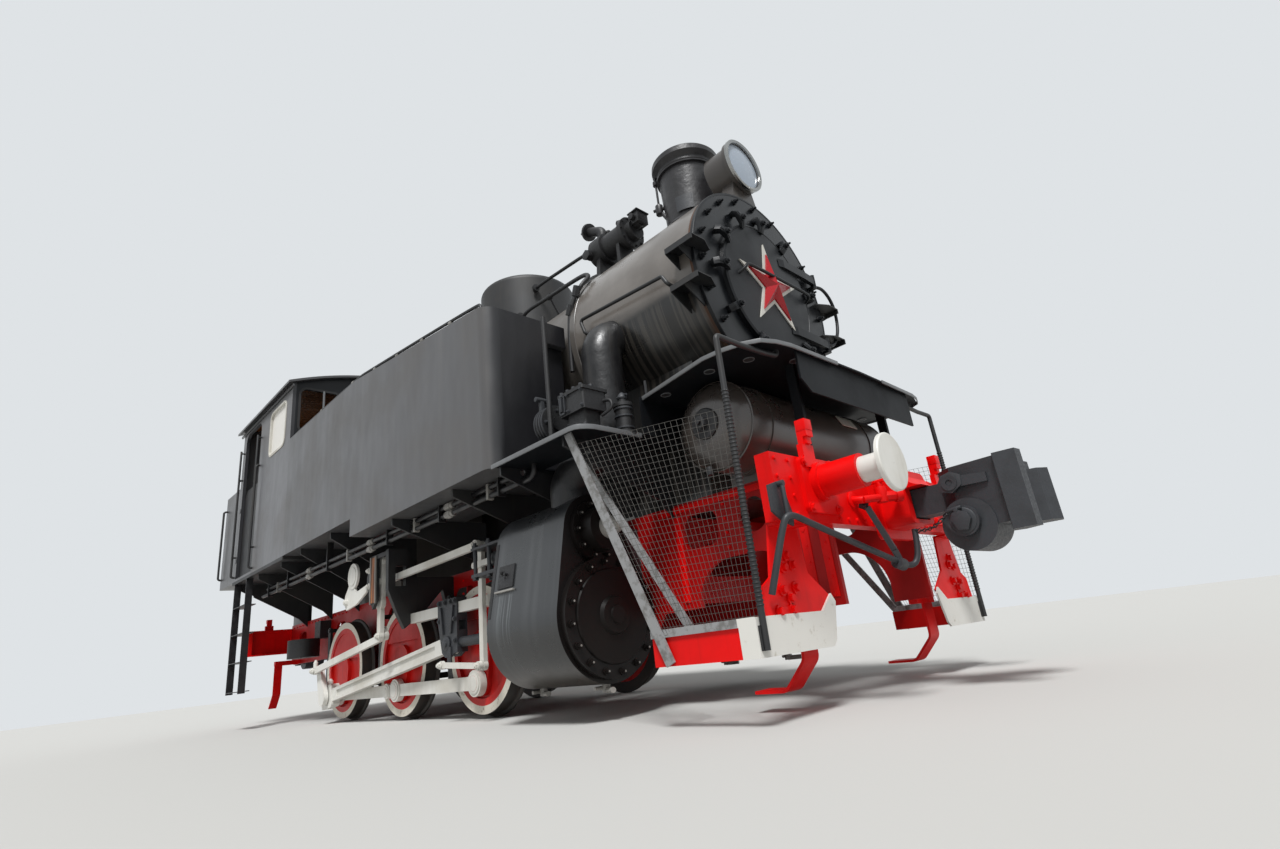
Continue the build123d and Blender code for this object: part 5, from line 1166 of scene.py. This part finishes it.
class LOCO_OT_cylinder_fittings(bpy.types.Operator):
    """Noses of the valve chests, raised rings of the covers and drain cocks"""

    bl_idname = "loco.cylinder_fittings"
    bl_label = "Cylinder fittings"

    def execute(self, context):
        dark = bmesh.new()
        bright = bmesh.new()
        for sign in (-1, 1):
            chest = (CYL_FRONT + 0.044, sign * CHEST_Y, CHEST_Z)
            profile = ((0, 0.150), (0.020, 0.148), (0.060, 0.128), (0.095, 0.090), (0.105, 0.070), (0.105, 0))
            lathe(dark, chest, (1, 0, 0), profile, 48)
            tip = (CYL_FRONT + 0.140, sign * CHEST_Y, CHEST_Z)
            profile = ((0, 0.080), (0.030, 0.072), (0.130, 0.044), (0.142, 0.030), (0.145, 0))
            lathe(bright, tip, (1, 0, 0), profile, 40)
            cover = (CYL_FRONT + 0.054, sign * CYL_Y, CYL_Z)
            profile = (
                (0, 0.300), (0.010, 0.294), (0.014, 0.125), (0.040, 0.110), (0.045, 0.060), (0.060, 0.055),
                (0.060, 0),
            )
            lathe(dark, cover, (1, 0, 0), profile, 64)
            for x in (CYL_FRONT - 0.05, 2.36):
                rod(bright, (x, sign * 1.02, 0.225), (x, sign * 1.02, 0.165), 0.026, 16)
                rod(bright, (x, sign * 1.02, 0.180), (x + 0.11, sign * 1.06, 0.180), 0.018, 12)
                rod(bright, (x - 0.02, sign * 0.98, 0.195), (x - 0.02, sign * 1.10, 0.195), 0.012, 12)
        finish_mesh("cylinder_bosses", dark, "enamel_cover_brown_black", "root")
        finish_mesh("chest_noses_and_cocks", bright, "worn_steel", "root")
        return {"FINISHED"}


class LOCO_OT_chimney_fittings(bpy.types.Operator):
    """Side pipe, a lighter sheet on the chimney's side as painted highlight, mouldings of the chimney, and the
    generator's bolts, caps and valve wheel
    """

    bl_idname = "loco.chimney_fittings"
    bl_label = "Chimney fittings"

    def execute(self, context):
        bm = bmesh.new()
        x, y = 3.345, -0.180
        for low, high, radius in (
            (3.965, 4.375, 0.010), (3.945, 4.035, 0.034), (4.250, 4.290, 0.026), (4.350, 4.390, 0.022),
        ):
            rod(bm, (x, y, low), (x, y, high), radius, 12)
        for z in (4.000, 4.270):
            rod(bm, (x, y, z), (3.425, -0.105, z), 0.013, 8)
        rod(bm, (x - 0.05, y - 0.02, 4.000), (x + 0.05, y + 0.02, 4.000), 0.014, 8)
        rod(bm, (x, y, 3.99), (3.440, -0.150, 3.800), 0.016, 10)
        finish_mesh("chimney_side_pipe", bm, "old_sheet_black", "root", bevel=0.002)
        bm = bmesh.new()
        ring = ((0, 0.228), (0.002, 0.262), (0.016, 0.266), (0.030, 0.258), (0.034, 0.228))
        lathe_open(bm, (CHIMNEY_X, 0, 3.700), (0, 0, 1), ring, 72)
        ring = ((0, 0.245), (0.002, 0.270), (0.014, 0.272), (0.022, 0.245))
        lathe_open(bm, (CHIMNEY_X, 0, 4.250), (0, 0, 1), ring, 72)
        finish_mesh("chimney_mouldings", bm, "old_sheet_black", "root")
        # Painted highlight: a thin sheet a little lighter than the chimney, on its side.
        bm = bmesh.new()
        grid = []
        for i in range(9):
            turn = math.radians(-84 + 4.5 * i)
            way = Vector((math.cos(turn), math.sin(turn), 0))
            ends = [Vector((CHIMNEY_X, 0, z)) + way * radius for radius, z in ((0.249, 3.79), (0.252, 3.93))]
            grid.append([bm.verts.new(p) for p in ends])
        for a, b in zip(grid, grid[1:]):
            bm.faces.new((a[0], b[0], b[1], a[1]))
        bmesh.ops.solidify(bm, geom=list(bm.faces), thickness=0.005)
        finish_mesh("chimney_painted_highlight", bm, "painted_casting_dark", "root")
        bolts = []
        for x, radius, count in ((2.558, 0.132, 8), (3.006, 0.134, 10)):
            way = (1 if x > 2.8 else -1, 0, 0)
            bolts += [(place, way) for place, _ in ring_points((x, GENERATOR_Y, 3.960), radius, count)]
        way = Vector((-0.170, 0, 0.090)).normalized()
        flange = Vector((2.450, GENERATOR_Y, 4.290)) + way * 0.026
        over = Vector((way.z, 0, -way.x))
        for i in range(6):
            turn = math.pi * i / 3
            around = over * math.sin(turn) + Vector((0, math.cos(turn), 0))
            bolts.append((flange + around * 0.064, way))
        bolts += [((x, y, 4.098), (0, 0, 1)) for x in (3.062, 3.146) for y in (-0.262, -0.138)]
        heads("generator_bolts", bolts, "painted_casting_black", "root", 0.010, 0.010, 6, 1.2)
        bm = bmesh.new()
        block(bm, (3.046, -0.264, 3.975), (3.158, -0.136, 4.086))
        block(bm, (3.040, -0.278, 4.086), (3.166, -0.122, 4.098))
        rod(bm, (3.102, -0.264, 4.030), (3.102, -0.302, 4.030), 0.030, 20)
        for x, low, high, radius in (
            (2.600, 4.090, 4.150, 0.030), (2.700, 4.060, 4.128, 0.024), (2.860, 4.070, 4.140, 0.026),
        ):
            rod(bm, (x, GENERATOR_Y, low), (x, GENERATOR_Y, high), radius, 16)
            rod(bm, (x, GENERATOR_Y, high), (x, GENERATOR_Y, high + 0.020), radius * 1.35, 6)
        rod(bm, flange, flange + way * 0.055, 0.022, 16)
        for turn in turns(5):
            arm = over * math.sin(turn) + Vector((0, math.cos(turn), 0))
            rod(bm, flange + way * 0.045, flange + way * 0.050 + arm * 0.052, 0.010, 10)
        rod(bm, (2.560, -0.320, 3.900), (2.560, -0.372, 3.900), 0.040, 20)
        rod(bm, (2.560, -0.366, 3.900), (2.560, -0.390, 3.900), 0.052, 6)
        finish_mesh("generator_fittings", bm, "painted_casting_black", "root", bevel=0.002)
        return {"FINISHED"}


# Windows: centre, direction out, half width, half height and corner radius
WINDOWS = (
    ("side", (-2.370, 1.550, 3.600), (0, 1, 0), 0.310, 0.300),
    ("front", (-1.840, 1.215, 3.700), (1, 0, 0), 0.250, 0.300),
    ("rear", (-3.970, 0.760, 3.640), (-1, 0, 0), 0.310, 0.260),
)
WINDOW_CORNER = 0.090
ROOF_R = (1.620**2 + 0.310**2) / (2 * 0.310)


def roof_z(y):
    """Height of the roof's underside at y."""
    return 4.330 - ROOF_R + math.sqrt(ROOF_R**2 - y**2)


def rounded_outline(half_wide, half_high, corner, count=6):
    """Points of a rounded rectangle round the origin."""
    points = []
    for k, (a, b) in enumerate(((1, 1), (-1, 1), (-1, -1), (1, -1))):
        for i in range(count + 1):
            turn = math.radians(90 * k + 90 * i / count)
            across = a * (half_wide - corner) + corner * math.cos(turn)
            points.append((across, b * (half_high - corner) + corner * math.sin(turn)))
    return points


class LOCO_OT_cab(bpy.types.Operator):
    """Panes, rubber frames, mullions, ceiling boards, rain strips, door hinges and hand pillars"""

    bl_idname = "loco.cab"
    bl_label = "Cab fittings"

    def execute(self, context):
        thick = context.scene.loco_fittings.glass
        frosted, clear, pale, dark = bmesh.new(), bmesh.new(), bmesh.new(), bmesh.new()
        for kind, (x, y, z), out, wide, high in WINDOWS:
            for sign in (-1, 1):
                centre = Vector((x, sign * y, z))
                normal = Vector((out[0], out[1] * sign, 0))
                across = Vector((0, 0, 1)).cross(normal)
                up = Vector((0, 0, 1))

                def place(a, b, depth):
                    return centre + across * a + up * b + normal * depth

                outline = rounded_outline(wide + 0.006, high + 0.006, WINDOW_CORNER)
                edge = [place(a, b, -0.028) for a, b in outline]
                if kind != "front":
                    prism(frosted if kind == "side" else clear, edge, normal * thick)
                rubber = dark if kind == "front" else pale
                inner = rounded_outline(wide - 0.012, high - 0.012, WINDOW_CORNER - 0.012)
                outer = rounded_outline(wide + 0.016, high + 0.016, WINDOW_CORNER + 0.016)
                rows = []
                for a, b in zip(inner, outer):
                    section = ((a, -0.030), (b, -0.001), (b, 0.007), (a, 0.007))
                    rows.append([rubber.verts.new(place(*p, depth)) for p, depth in section])
                skin(rubber, rows)
        finish_mesh("cab_side_panes", frosted, "frosted_glass", "root")
        finish_mesh("cab_end_panes", clear, "window_glass", "root")
        finish_mesh("cab_pane_rubbers", pale, "chalky_white", "root")
        finish_mesh("front_window_rubbers", dark, "rubber_hose", "root")
        bm = bmesh.new()
        for sign in (-1, 1):
            rod(bm, (-1.832, sign * 1.180, 3.405), (-1.832, sign * 1.180, 3.995), 0.014, 12)
        finish_mesh("front_window_mullions", bm, "enamel_light_edge", "root")
        bm = bmesh.new()
        rear, width, gap, thin = -3.925, 0.098, 0.006, 0.012
        count = 24
        rows = []
        for i in range(count + 1):
            y = -1.500 + 3.0 * i / count
            z = roof_z(y) - 0.003
            section = ((rear, z), (rear + width, z), (rear + width, z - thin), (rear, z - thin))
            rows.append([bm.verts.new((x, y, h)) for x, h in section])
        bar(bm, rows)
        bmesh.ops.recalc_face_normals(bm, faces=bm.faces)
        one = bpy.data.meshes.new("ceiling_board")
        bm.to_mesh(one)
        bm.free()
        inputs = {"Count": 20, "Offset": (width + gap, 0, 0), "Finish": MATERIALS["varnished_board"]}
        run_tree("ceiling_boards", "row", one, inputs, "root")
        bm = bmesh.new()
        for sign in (-1, 1):
            y = sign * 1.552
            strip = ((-4.055, 4.012), (-1.780, 4.012), (-1.780, 3.982), (-4.055, 3.982))
            prism(bm, [(x, y, z) for x, z in strip], (0, sign * 0.020, 0))
            for z in (2.150, 2.850):
                block(bm, (-3.905, sign * 1.551, z - 0.030), (-3.850, sign * 1.556, z + 0.030))
        finish_mesh("cab_rain_strips", bm, "enamel_body_black", "root", bevel=0.003)
        bm = bmesh.new()
        for sign in (-1, 1):
            for x in (-3.880, -3.070):
                rod(bm, (x, sign * 1.550, 2.20), (x, sign * 1.600, 2.20), 0.012, 10)
                rod(bm, (x, sign * 1.550, 3.70), (x, sign * 1.600, 3.70), 0.012, 10)
                rod(bm, (x, sign * 1.598, 2.17), (x, sign * 1.598, 3.73), 0.014, 12)
        finish_mesh("cab_hand_pillars", bm, "enamel_deck_black", "root", bevel=0.002)
        return {"FINISHED"}


class LOCO_OT_side_fittings(bpy.types.Operator):
    """Union nuts and clips of the long pipes, and the rails on the tanks"""

    bl_idname = "loco.side_fittings"
    bl_label = "Side fittings"

    def execute(self, context):
        bm = bmesh.new()
        for sign in (-1, 1):
            y = sign * 1.320
            for x in (1.645, 0.10, -1.60):
                for z in (1.600, 1.665):
                    rod(bm, (x - 0.030, y, z), (x + 0.030, y, z), 0.036, 6)
                    rod(bm, (x - 0.062, y, z), (x + 0.062, y, z), 0.028, 12)
            for x in (2.25, 1.05, -0.45, -2.70):
                block(bm, (x - 0.014, y - 0.026, 1.572), (x + 0.014, y + 0.026, 1.692))
        finish_mesh("pipe_unions", bm, "worn_steel", "root", bevel=0.002)
        for side, sign in SIDES:
            y = sign * 1.500
            rail = (
                (2.520, y, 3.000), (2.515, y, 3.040), (2.480, y, 3.065), (0.300, y, 3.342), (0.150, y, 3.352),
                (-1.740, y, 3.352), (-1.790, y, 3.345), (-1.795, y, 3.302),
            )
            bent_bar(side + "_tank_rail", rail, 0.013, "enamel_deck_black", "root")
            bm = bmesh.new()
            for x, top in (
                (2.05, 3.048), (1.55, 3.110), (1.05, 3.172), (0.55, 3.235), (0.0, 3.300), (-0.9, 3.300),
            ):
                rod(bm, (x, y, top), (x, y, top + 0.062), 0.009, 10)
                rod(bm, (x - 0.02, y, top + 0.052), (x + 0.02, y, top + 0.052), 0.018, 8)
            finish_mesh(side + "_tank_rail_posts", bm, "worn_steel", "root")
        return {"FINISHED"}


class LOCO_OT_lubricator_fittings(bpy.types.Operator):
    """Slotted guide, ratchet, pot rings and pipes of the lubricators, and the pipes above the tanks"""

    bl_idname = "loco.lubricator_fittings"
    bl_label = "Lubricator fittings"

    def execute(self, context):
        bm = bmesh.new()
        face = -1.463
        for low, high in (
            ((3.346, 1.842), (3.356, 1.972)), ((3.392, 1.842), (3.402, 1.972)),
            ((3.346, 1.962), (3.402, 1.974)), ((3.346, 1.840), (3.402, 1.852)),
        ):
            block(bm, (low[0], face - 0.012, low[1]), (high[0], face + 0.002, high[1]))
        block(bm, (3.368, face - 0.020, 1.860), (3.380, face + 0.002, 1.955))
        for x, z in ((3.425, 1.955), (3.560, 1.955), (3.425, 1.850), (3.560, 1.850)):
            nut(bm, (x, face, z), (0, -1, 0), 0.010, 0.012)
        for x in (3.360, 3.420, 3.480, 3.550):
            rod(bm, (x, -1.455, 1.975), (x, -1.455, 1.998), 0.012, 8)
            rod(bm, (x, -1.372, 1.975), (x, -1.372, 2.004), 0.016, 10)
        for x in (3.345, 3.565):
            for y in (-1.455, -1.275):
                nut(bm, (x, y, 1.716), (0, 0, 1), 0.014, 0.014)
        finish_mesh("lubricator_guide", bm, "painted_casting_dark", "root", bevel=0.0015)
        bm = bmesh.new()
        for x in (3.052, 3.080, 3.108, 3.134):
            ring = ((-0.005, 0.120), (-0.004, 0.134), (0.004, 0.134), (0.005, 0.120))
            lathe_open(bm, (x, DRUM_Y, DRUM_Z), (1, 0, 0), ring, 48)
        for x, way in ((3.140, 1), (3.050, -1)):
            for place, _ in ring_points((x, DRUM_Y, DRUM_Z), 0.096, 8):
                nut(bm, place, (way, 0, 0), 0.012, 0.014)
        rod(bm, (3.000, -1.330, 1.880), (3.022, -1.330, 1.880), 0.060, 20)
        rod(bm, (2.985, -1.330, 1.880), (3.005, -1.330, 1.880), 0.026, 6)
        block(bm, (2.960, -1.345, 1.955), (2.990, -1.315, 2.120))
        rod(bm, (2.975, -1.380, 2.110), (2.975, -1.260, 2.110), 0.018, 12)
        rod(bm, (2.975, -1.330, 1.880), (2.975, -1.330, 2.110), 0.015, 10)
        finish_mesh("lubricator_ratchet", bm, "painted_casting_dark", "root", bevel=0.0015)
        pot_x, pot_y = 3.556, -1.112
        bm = bmesh.new()
        for z in (1.735, 1.815, 1.868):
            ring = ((0, 0.050), (0.002, 0.063), (0.014, 0.063), (0.016, 0.050))
            lathe_open(bm, (pot_x, pot_y, z), (0, 0, 1), ring, 40)
        profile = ((0, 0.030), (0.010, 0.034), (0.030, 0.026), (0.046, 0.012), (0.052, 0))
        lathe(bm, (pot_x, pot_y, 1.948), (0, 0, 1), profile, 24)
        rod(bm, (pot_x - 0.045, pot_y, 1.972), (pot_x + 0.045, pot_y, 1.972), 0.008, 8)
        finish_mesh("lubricator_pot_rings", bm, "painted_casting_dark", "root")
        box_pipe = (
            (3.545, -1.300, 1.900), (3.590, -1.290, 1.902), (3.632, -1.282, 1.885), (3.636, -1.285, 1.835),
            (3.590, -1.300, 1.812), (3.560, -1.310, 1.802),
        )
        drum_pipe = (
            (3.110, -1.235, 1.960), (3.130, -1.170, 2.020), (3.200, -1.120, 1.960), (3.240, -1.100, 1.800),
            (3.240, -1.100, 1.705),
        )
        front_pipe = (
            (2.700, -0.790, 2.560), (2.700, -0.790, 3.000), (2.760, -0.770, 3.200), (2.840, -0.720, 3.330),
            (2.850, -0.640, 3.420), (2.780, -0.600, 3.500), (2.600, -0.560, 3.560), (2.100, -0.500, 3.640),
            (1.620, -0.470, 3.700), (1.540, -0.400, 3.700),
        )
        steam_pipe = (
            (2.530, -0.250, 4.020), (2.440, -0.260, 4.030), (2.000, -0.260, 4.060), (1.640, -0.260, 4.085),
            (1.500, -0.240, 4.085),
        )
        loops = (
            ("box_pipe", box_pipe, 0.011), ("drum_pipe", drum_pipe, 0.012),
            ("front_side_pipe", front_pipe, 0.019), ("generator_steam_pipe", steam_pipe, 0.017),
        )
        for name, points, radius in loops:
            bent_bar(name, points, radius, "painted_casting_black", "root")
        bm = bmesh.new()
        rod(bm, (2.120, -0.505, 3.640), (2.120, -0.390, 3.450), 0.010, 8)
        rod(bm, (2.100, -0.500, 3.636), (2.140, -0.500, 3.636), 0.028, 12)
        for x, y, z in ((2.795, -0.752, 3.270), (2.730, -0.781, 3.110)):
            rod(bm, (x - 0.018, y, z - 0.040), (x + 0.018, y, z + 0.040), 0.034, 8)
        rod(bm, (2.500, -0.250, 4.022), (2.545, -0.250, 4.020), 0.032, 6)
        for sign in (-1, 1):
            rod(bm, (3.665, sign * 0.990, 1.946), (3.665, sign * 0.990, 2.065), 0.010, 8)
            rod(bm, (3.665, sign * 0.990, 1.946), (3.665, sign * 0.990, 1.958), 0.024, 6)
        rod(bm, (1.585, -0.255, 4.085), (1.610, -0.258, 4.085), 0.040, 12)
        rod(bm, (1.540, -0.440, 3.700), (1.575, -0.452, 3.700), 0.045, 12)
        finish_mesh("steam_pipe_unions", bm, "painted_casting_black", "root")
        return {"FINISHED"}


class LOCO_OT_wheel_fittings(bpy.types.Operator):
    """Webs between the spokes, hub caps and pin caps"""

    bl_idname = "loco.wheel_fittings"
    bl_label = "Wheel webs and caps"

    def execute(self, context):
        for body, x in AXLE_X.items():
            web, caps = bmesh.new(), bmesh.new()
            for sign in (-1, 1):
                ring = (
                    (0.000, 0.140), (0.000, 0.402), (0.0035, 0.402), (0.0060, 0.380), (0.0060, 0.160),
                    (0.012, 0.140),
                )
                lathe_open(web, (x, sign * 0.8245, AXLE_Z), (0, sign, 0), ring, 72)
                centre = (x, sign * 0.860, AXLE_Z)
                profile = ((-0.004, 0.084), (0.004, 0.084), (0.007, 0.076), (0.008, 0.030), (0.010, 0))
                lathe(caps, centre, (0, sign, 0), profile, 40)
            finish_mesh(body + "_webs", web, "enamel_wheel_red", body)
            finish_mesh(body + "_hub_caps", caps, "enamel_wheel_red", body)
        for body in ("middle_wheelset", "front_wheelset"):
            bm = bmesh.new()
            for side, sign in SIDES:
                turn = CRANK_TURN[side]
                pin = (AXLE_X[body] + CRANK_R * math.cos(turn), sign * 0.937, AXLE_Z + CRANK_R * math.sin(turn))
                cap = (
                    (0, 0.082), (0.005, 0.084), (0.008, 0.078), (0.0085, 0.062), (0.0115, 0.058),
                    (0.0125, 0.034), (0.0135, 0),
                )
                lathe(bm, pin, (0, sign, 0), cap, 40)
            finish_mesh(body + "_pin_caps", bm, "enamel_white", body)
        return {"FINISHED"}


class LOCO_OT_motion_fittings(bpy.types.Operator):
    """Nuts and oil cups of the gear, crosshead bolts, link strips, spindle guides and indicator plates"""

    bl_idname = "loco.motion_fittings"
    bl_label = "Motion fittings"

    def execute(self, context):
        white, dark = bmesh.new(), bmesh.new()
        for side, sign in SIDES:
            gear = MOTION[side]
            for (x, z), y, radius in (
                (gear["eye"], 1.163, 0.026), (gear["foot"], 1.200, 0.026), (gear["arm"], 1.144, 0.022),
                (gear["lever_foot"], 1.144, 0.022), ((1.710, 1.335), 1.150, 0.026),
                ((-0.110, 1.420), 1.250, 0.022), ((-0.110, 1.270), 1.250, 0.022),
            ):
                nut(white, (x, sign * y, z), (0, sign, 0), radius, 0.024)
            for x, z, y, tall, wide in (
                (gear["eye"][0], gear["eye"][1] + 0.036, 1.130, 0.075, 0.024),
                (gear["foot"][0], gear["foot"][1] + 0.034, 1.130, 0.050, 0.018),
                (gear["big"][0] - 0.020, gear["big"][1] + 0.118, 0.997, 0.065, 0.032),
                (gear["cross"] - 0.030, 0.622 + 0.084, 0.997, 0.040, 0.020),
            ):
                place = (x, sign * y, z)
                profile = (
                    (-0.01, wide), (tall * 0.7, wide), (tall * 0.8, wide * 0.7), (tall, wide * 0.6),
                    (tall + 0.008, 0),
                )
                lathe(white, place, (0, 0, 1), profile, 20)
            x = gear["cross"]
            for dx, z in (
                (-0.120, 0.965), (-0.020, 0.965), (0.080, 0.965), (0.150, 0.965), (-0.120, 0.815),
                (0.145, 0.815), (0.145, 0.640),
            ):
                nut(dark, (x + dx, sign * 1.049, z), (0, sign, 0), 0.020, 0.020)
            cap = ((0, 0.062), (0.008, 0.062), (0.012, 0.054), (0.014, 0.030), (0.026, 0.028), (0.028, 0))
            lathe(dark, (x, sign * 1.055, CYL_Z), (0, sign, 0), cap, 32)
            for dx in (-0.060, 0.075):
                low, high, half = x + dx, x + dx * 1.6, 0.014
                foot = ((low - half, 0.700), (low + half, 0.700), (high + half, 0.930), (high - half, 0.930))
                prism(dark, [(x, sign * 1.049, z) for x, z in foot], (0, sign * 0.018, 0))
            block(dark, (1.790, sign * 1.040, 1.060), (2.285, sign * 1.230, 1.086))
            block(dark, (1.790, sign * 1.040, 1.270), (2.285, sign * 1.230, 1.290))
            for x in (1.820, 2.020):
                for y in (1.062, 1.208):
                    rod(dark, (x, sign * y, 1.040), (x, sign * y, 1.330), 0.015, 10)
                    rod(dark, (x, sign * y, 1.286), (x, sign * y, 1.312), 0.027, 6)
                    rod(dark, (x, sign * y, 1.040), (x, sign * y, 1.062), 0.027, 6)
            for half_x, half_z, start, thick in ((0.125, 0.128, 1.256, 0.024), (0.085, 0.092, 1.278, 0.008)):
                oval = [(-0.450 + half_x * math.cos(t), 1.420 + half_z * math.sin(t)) for t in turns(28)]
                prism(white, [(x, sign * start, z) for x, z in oval], (0, sign * thick, 0))
            lug = ((-0.540, 1.360), (-0.650, 1.250), (-0.680, 1.170), (-0.610, 1.100), (-0.360, 1.130),
                   (-0.120, 1.220), (-0.100, 1.290), (-0.380, 1.250), (-0.430, 1.330))
            prism(white, [(x, sign * 1.252, z) for x, z in lug], (0, sign * 0.020, 0))
            nut(white, (-0.610, sign * 1.270, 1.180), (0, sign, 0), 0.030, 0.026)
        finish_mesh("motion_nuts_and_cups", white, "enamel_white", "root")
        finish_mesh("crosshead_and_guide_fittings", dark, "painted_casting_dark", "root", bevel=0.002)
        bm = bmesh.new()
        edges = bmesh.new()
        for sign in (-1, 1):
            block(bm, (-0.048, sign * 1.249, 1.100), (0.046, sign * 1.258, 1.530))
            for x in (-0.058, 0.056):
                block(edges, (x - 0.008, sign * 1.249, 1.090), (x + 0.008, sign * 1.264, 1.540))
        finish_mesh("link_oiled_strips", bm, "varnished_board", "root", bevel=0.002)
        finish_mesh("link_strip_edges", edges, "worn_steel", "root", bevel=0.002)
        for side, sign in SIDES:
            x, z = MOTION[side]["knuckle"]
            bm = bmesh.new()
            profile = (
                (0, 0.052), (0.006, 0.054), (0.009, 0.046), (0.0095, 0.030), (0.0145, 0.026), (0.015, 0),
            )
            lathe(bm, (x, sign * 0.935, z), (0, sign, 0), profile, 32)
            finish_mesh(side + "_knuckle_cap", bm, "enamel_white", side + "_coupling_rod")
        plates, lips = bmesh.new(), bmesh.new()
        for sign in (-1, 1):
            low, high = Vector((0, sign * 1.3985, 0.702)), Vector((0, sign * 1.2955, 1.227))
            normal = Vector((0, sign * 0.9809, 0.1943))

            def on_casing(x, z, off):
                return low.lerp(high, (z - low.z) / (high.z - low.z)) + Vector((x, 0, 0)) + normal * off

            for group, near_x, far_x, base, top, thick in (
                (plates, 2.370, 2.560, 0.895, 1.050, 0.014), (lips, 2.350, 2.580, 0.868, 0.880, 0.022),
            ):
                corners = ((near_x, base), (far_x, base), (far_x, top), (near_x, top))
                prism(group, [on_casing(x, z, -0.004) for x, z in corners], normal * thick)
            nut(plates, on_casing(2.420, 1.000, 0.010), normal, 0.014, 0.016)
            knob = on_casing(2.475, 0.985, 0.010)
            rod(plates, knob, knob + normal * 0.022, 0.010, 12)
            rod(plates, knob + normal * 0.018, knob + normal * 0.018 + Vector((0, 0, -0.035)), 0.006, 8)
            ends = ((2.278, 0.705), (2.318, 0.705), (2.318, 1.225), (2.278, 1.225))
            prism(plates, [on_casing(x, z, -0.002) for x, z in ends], normal * 0.005)
        finish_mesh("cylinder_indicator_plates", plates, "painted_casting_black", "root", bevel=0.002)
        finish_mesh("cylinder_plate_lips", lips, "worn_steel", "root", bevel=0.002)
        return {"FINISHED"}


class LOCO_OT_stage(bpy.types.Operator):
    """Floor, lights and camera"""

    bl_idname = "loco.stage"
    bl_label = "Stage"

    def execute(self, context):
        scene = context.scene
        stage = scene.loco_stage
        scene.view_settings.view_transform = "Standard"
        tree, shader = new_material("plain_floor")
        set_inputs(tree, shader, [("Base Color", stage.floor), ("Roughness", 0.85)])
        mesh = bpy.data.meshes.new("floor")
        half = 60.0
        corners = [(-half, -half, 0), (half, -half, 0), (half, half, 0), (-half, half, 0)]
        mesh.from_pydata(corners, [], [(0, 1, 2, 3)])
        mesh.materials.append(MATERIALS["plain_floor"])
        floor = bpy.data.objects.new("floor", mesh)
        scene.collection.objects.link(floor)
        world = scene.world or bpy.data.worlds.new("world")
        scene.world = world
        world.use_nodes = True
        world.node_tree.nodes.clear()
        tree = world.node_tree
        rays = add_node(tree, "ShaderNodeLightPath").outputs
        seen = rays["Is Camera Ray"]
        for ray in ("Is Transmission Ray", "Is Glossy Ray"):
            seen = add_node(tree, "ShaderNodeMath", [(0, seen), (1, rays[ray])], operation="MAXIMUM")
        light = add_node(tree, "ShaderNodeBackground", [("Color", "#ffffff"), ("Strength", stage.world)])
        view = add_node(tree, "ShaderNodeBackground", [("Color", stage.sky), ("Strength", 1.0)])
        both = add_node(tree, "ShaderNodeMixShader", [(0, seen), (1, light), (2, view)])
        add_node(tree, "ShaderNodeOutputWorld", [("Surface", both)])
        sun = bpy.data.lights.new("key_sun", "SUN")
        sun.energy = stage.key
        sun.angle = math.radians(14)
        lamp = bpy.data.objects.new("key_sun", sun)
        lamp.matrix_world = aim((0.42, -0.52, 1.0))
        scene.collection.objects.link(lamp)
        camera = bpy.data.cameras.new("camera")
        camera.sensor_width = 36
        camera.sensor_fit = "HORIZONTAL"
        camera.lens = CAMERA_LENS_MM
        camera.clip_end = 300
        eye = bpy.data.objects.new("camera", camera)
        turn = Matrix((CAMERA_RIGHT, CAMERA_UP, [-v for v in CAMERA_FORWARD])).transposed().to_4x4()
        eye.matrix_world = Matrix.Translation(CAMERA_PLACE) @ turn
        scene.collection.objects.link(eye)
        scene.camera = eye
        return {"FINISHED"}


class LOCO_PT_panel(bpy.types.Panel):
    """Panel that lists the steps"""

    bl_label = "Locomotive"
    bl_idname = "LOCO_PT_panel"
    bl_space_type = "VIEW_3D"
    bl_region_type = "UI"
    bl_category = "Locomotive"

    def draw(self, context):
        for group in ("loco_paint", "loco_fittings", "loco_stage"):
            settings = getattr(context.scene, group)
            for key in settings.__annotations__:
                self.layout.prop(settings, key)
        for operator in OPERATORS:
            self.layout.operator(operator.bl_idname)


GROUPS = (LocoPaint, LocoFittings, LocoStage)
OPERATORS = (
    LOCO_OT_stage,
    LOCO_OT_paint,
    LOCO_OT_smokebox_front,
    LOCO_OT_star,
    LOCO_OT_lamp,
    LOCO_OT_cover_studs,
    LOCO_OT_guards,
    LOCO_OT_beam_fittings,
    LOCO_OT_uncoupling,
    LOCO_OT_deck_fittings,
    LOCO_OT_cylinder_fittings,
    LOCO_OT_chimney_fittings,
    LOCO_OT_cab,
    LOCO_OT_side_fittings,
    LOCO_OT_lubricator_fittings,
    LOCO_OT_wheel_fittings,
    LOCO_OT_motion_fittings,
)


def register():
    """Register the classes and hang the settings on the scene."""
    for item in (*GROUPS, *OPERATORS, LOCO_PT_panel):
        bpy.utils.register_class(item)
    bpy.types.Scene.loco_paint = bpy.props.PointerProperty(type=LocoPaint)
    bpy.types.Scene.loco_fittings = bpy.props.PointerProperty(type=LocoFittings)
    bpy.types.Scene.loco_stage = bpy.props.PointerProperty(type=LocoStage)


def unregister():
    """Take the settings and the classes away again."""
    del bpy.types.Scene.loco_stage
    del bpy.types.Scene.loco_fittings
    del bpy.types.Scene.loco_paint
    for item in reversed((*GROUPS, *OPERATORS, LOCO_PT_panel)):
        bpy.utils.unregister_class(item)


def main():
    register()
    for operator in OPERATORS:
        group, name = operator.bl_idname.split(".")
        getattr(getattr(bpy.ops, group), name)()


if __name__ == "__main__":
    main()
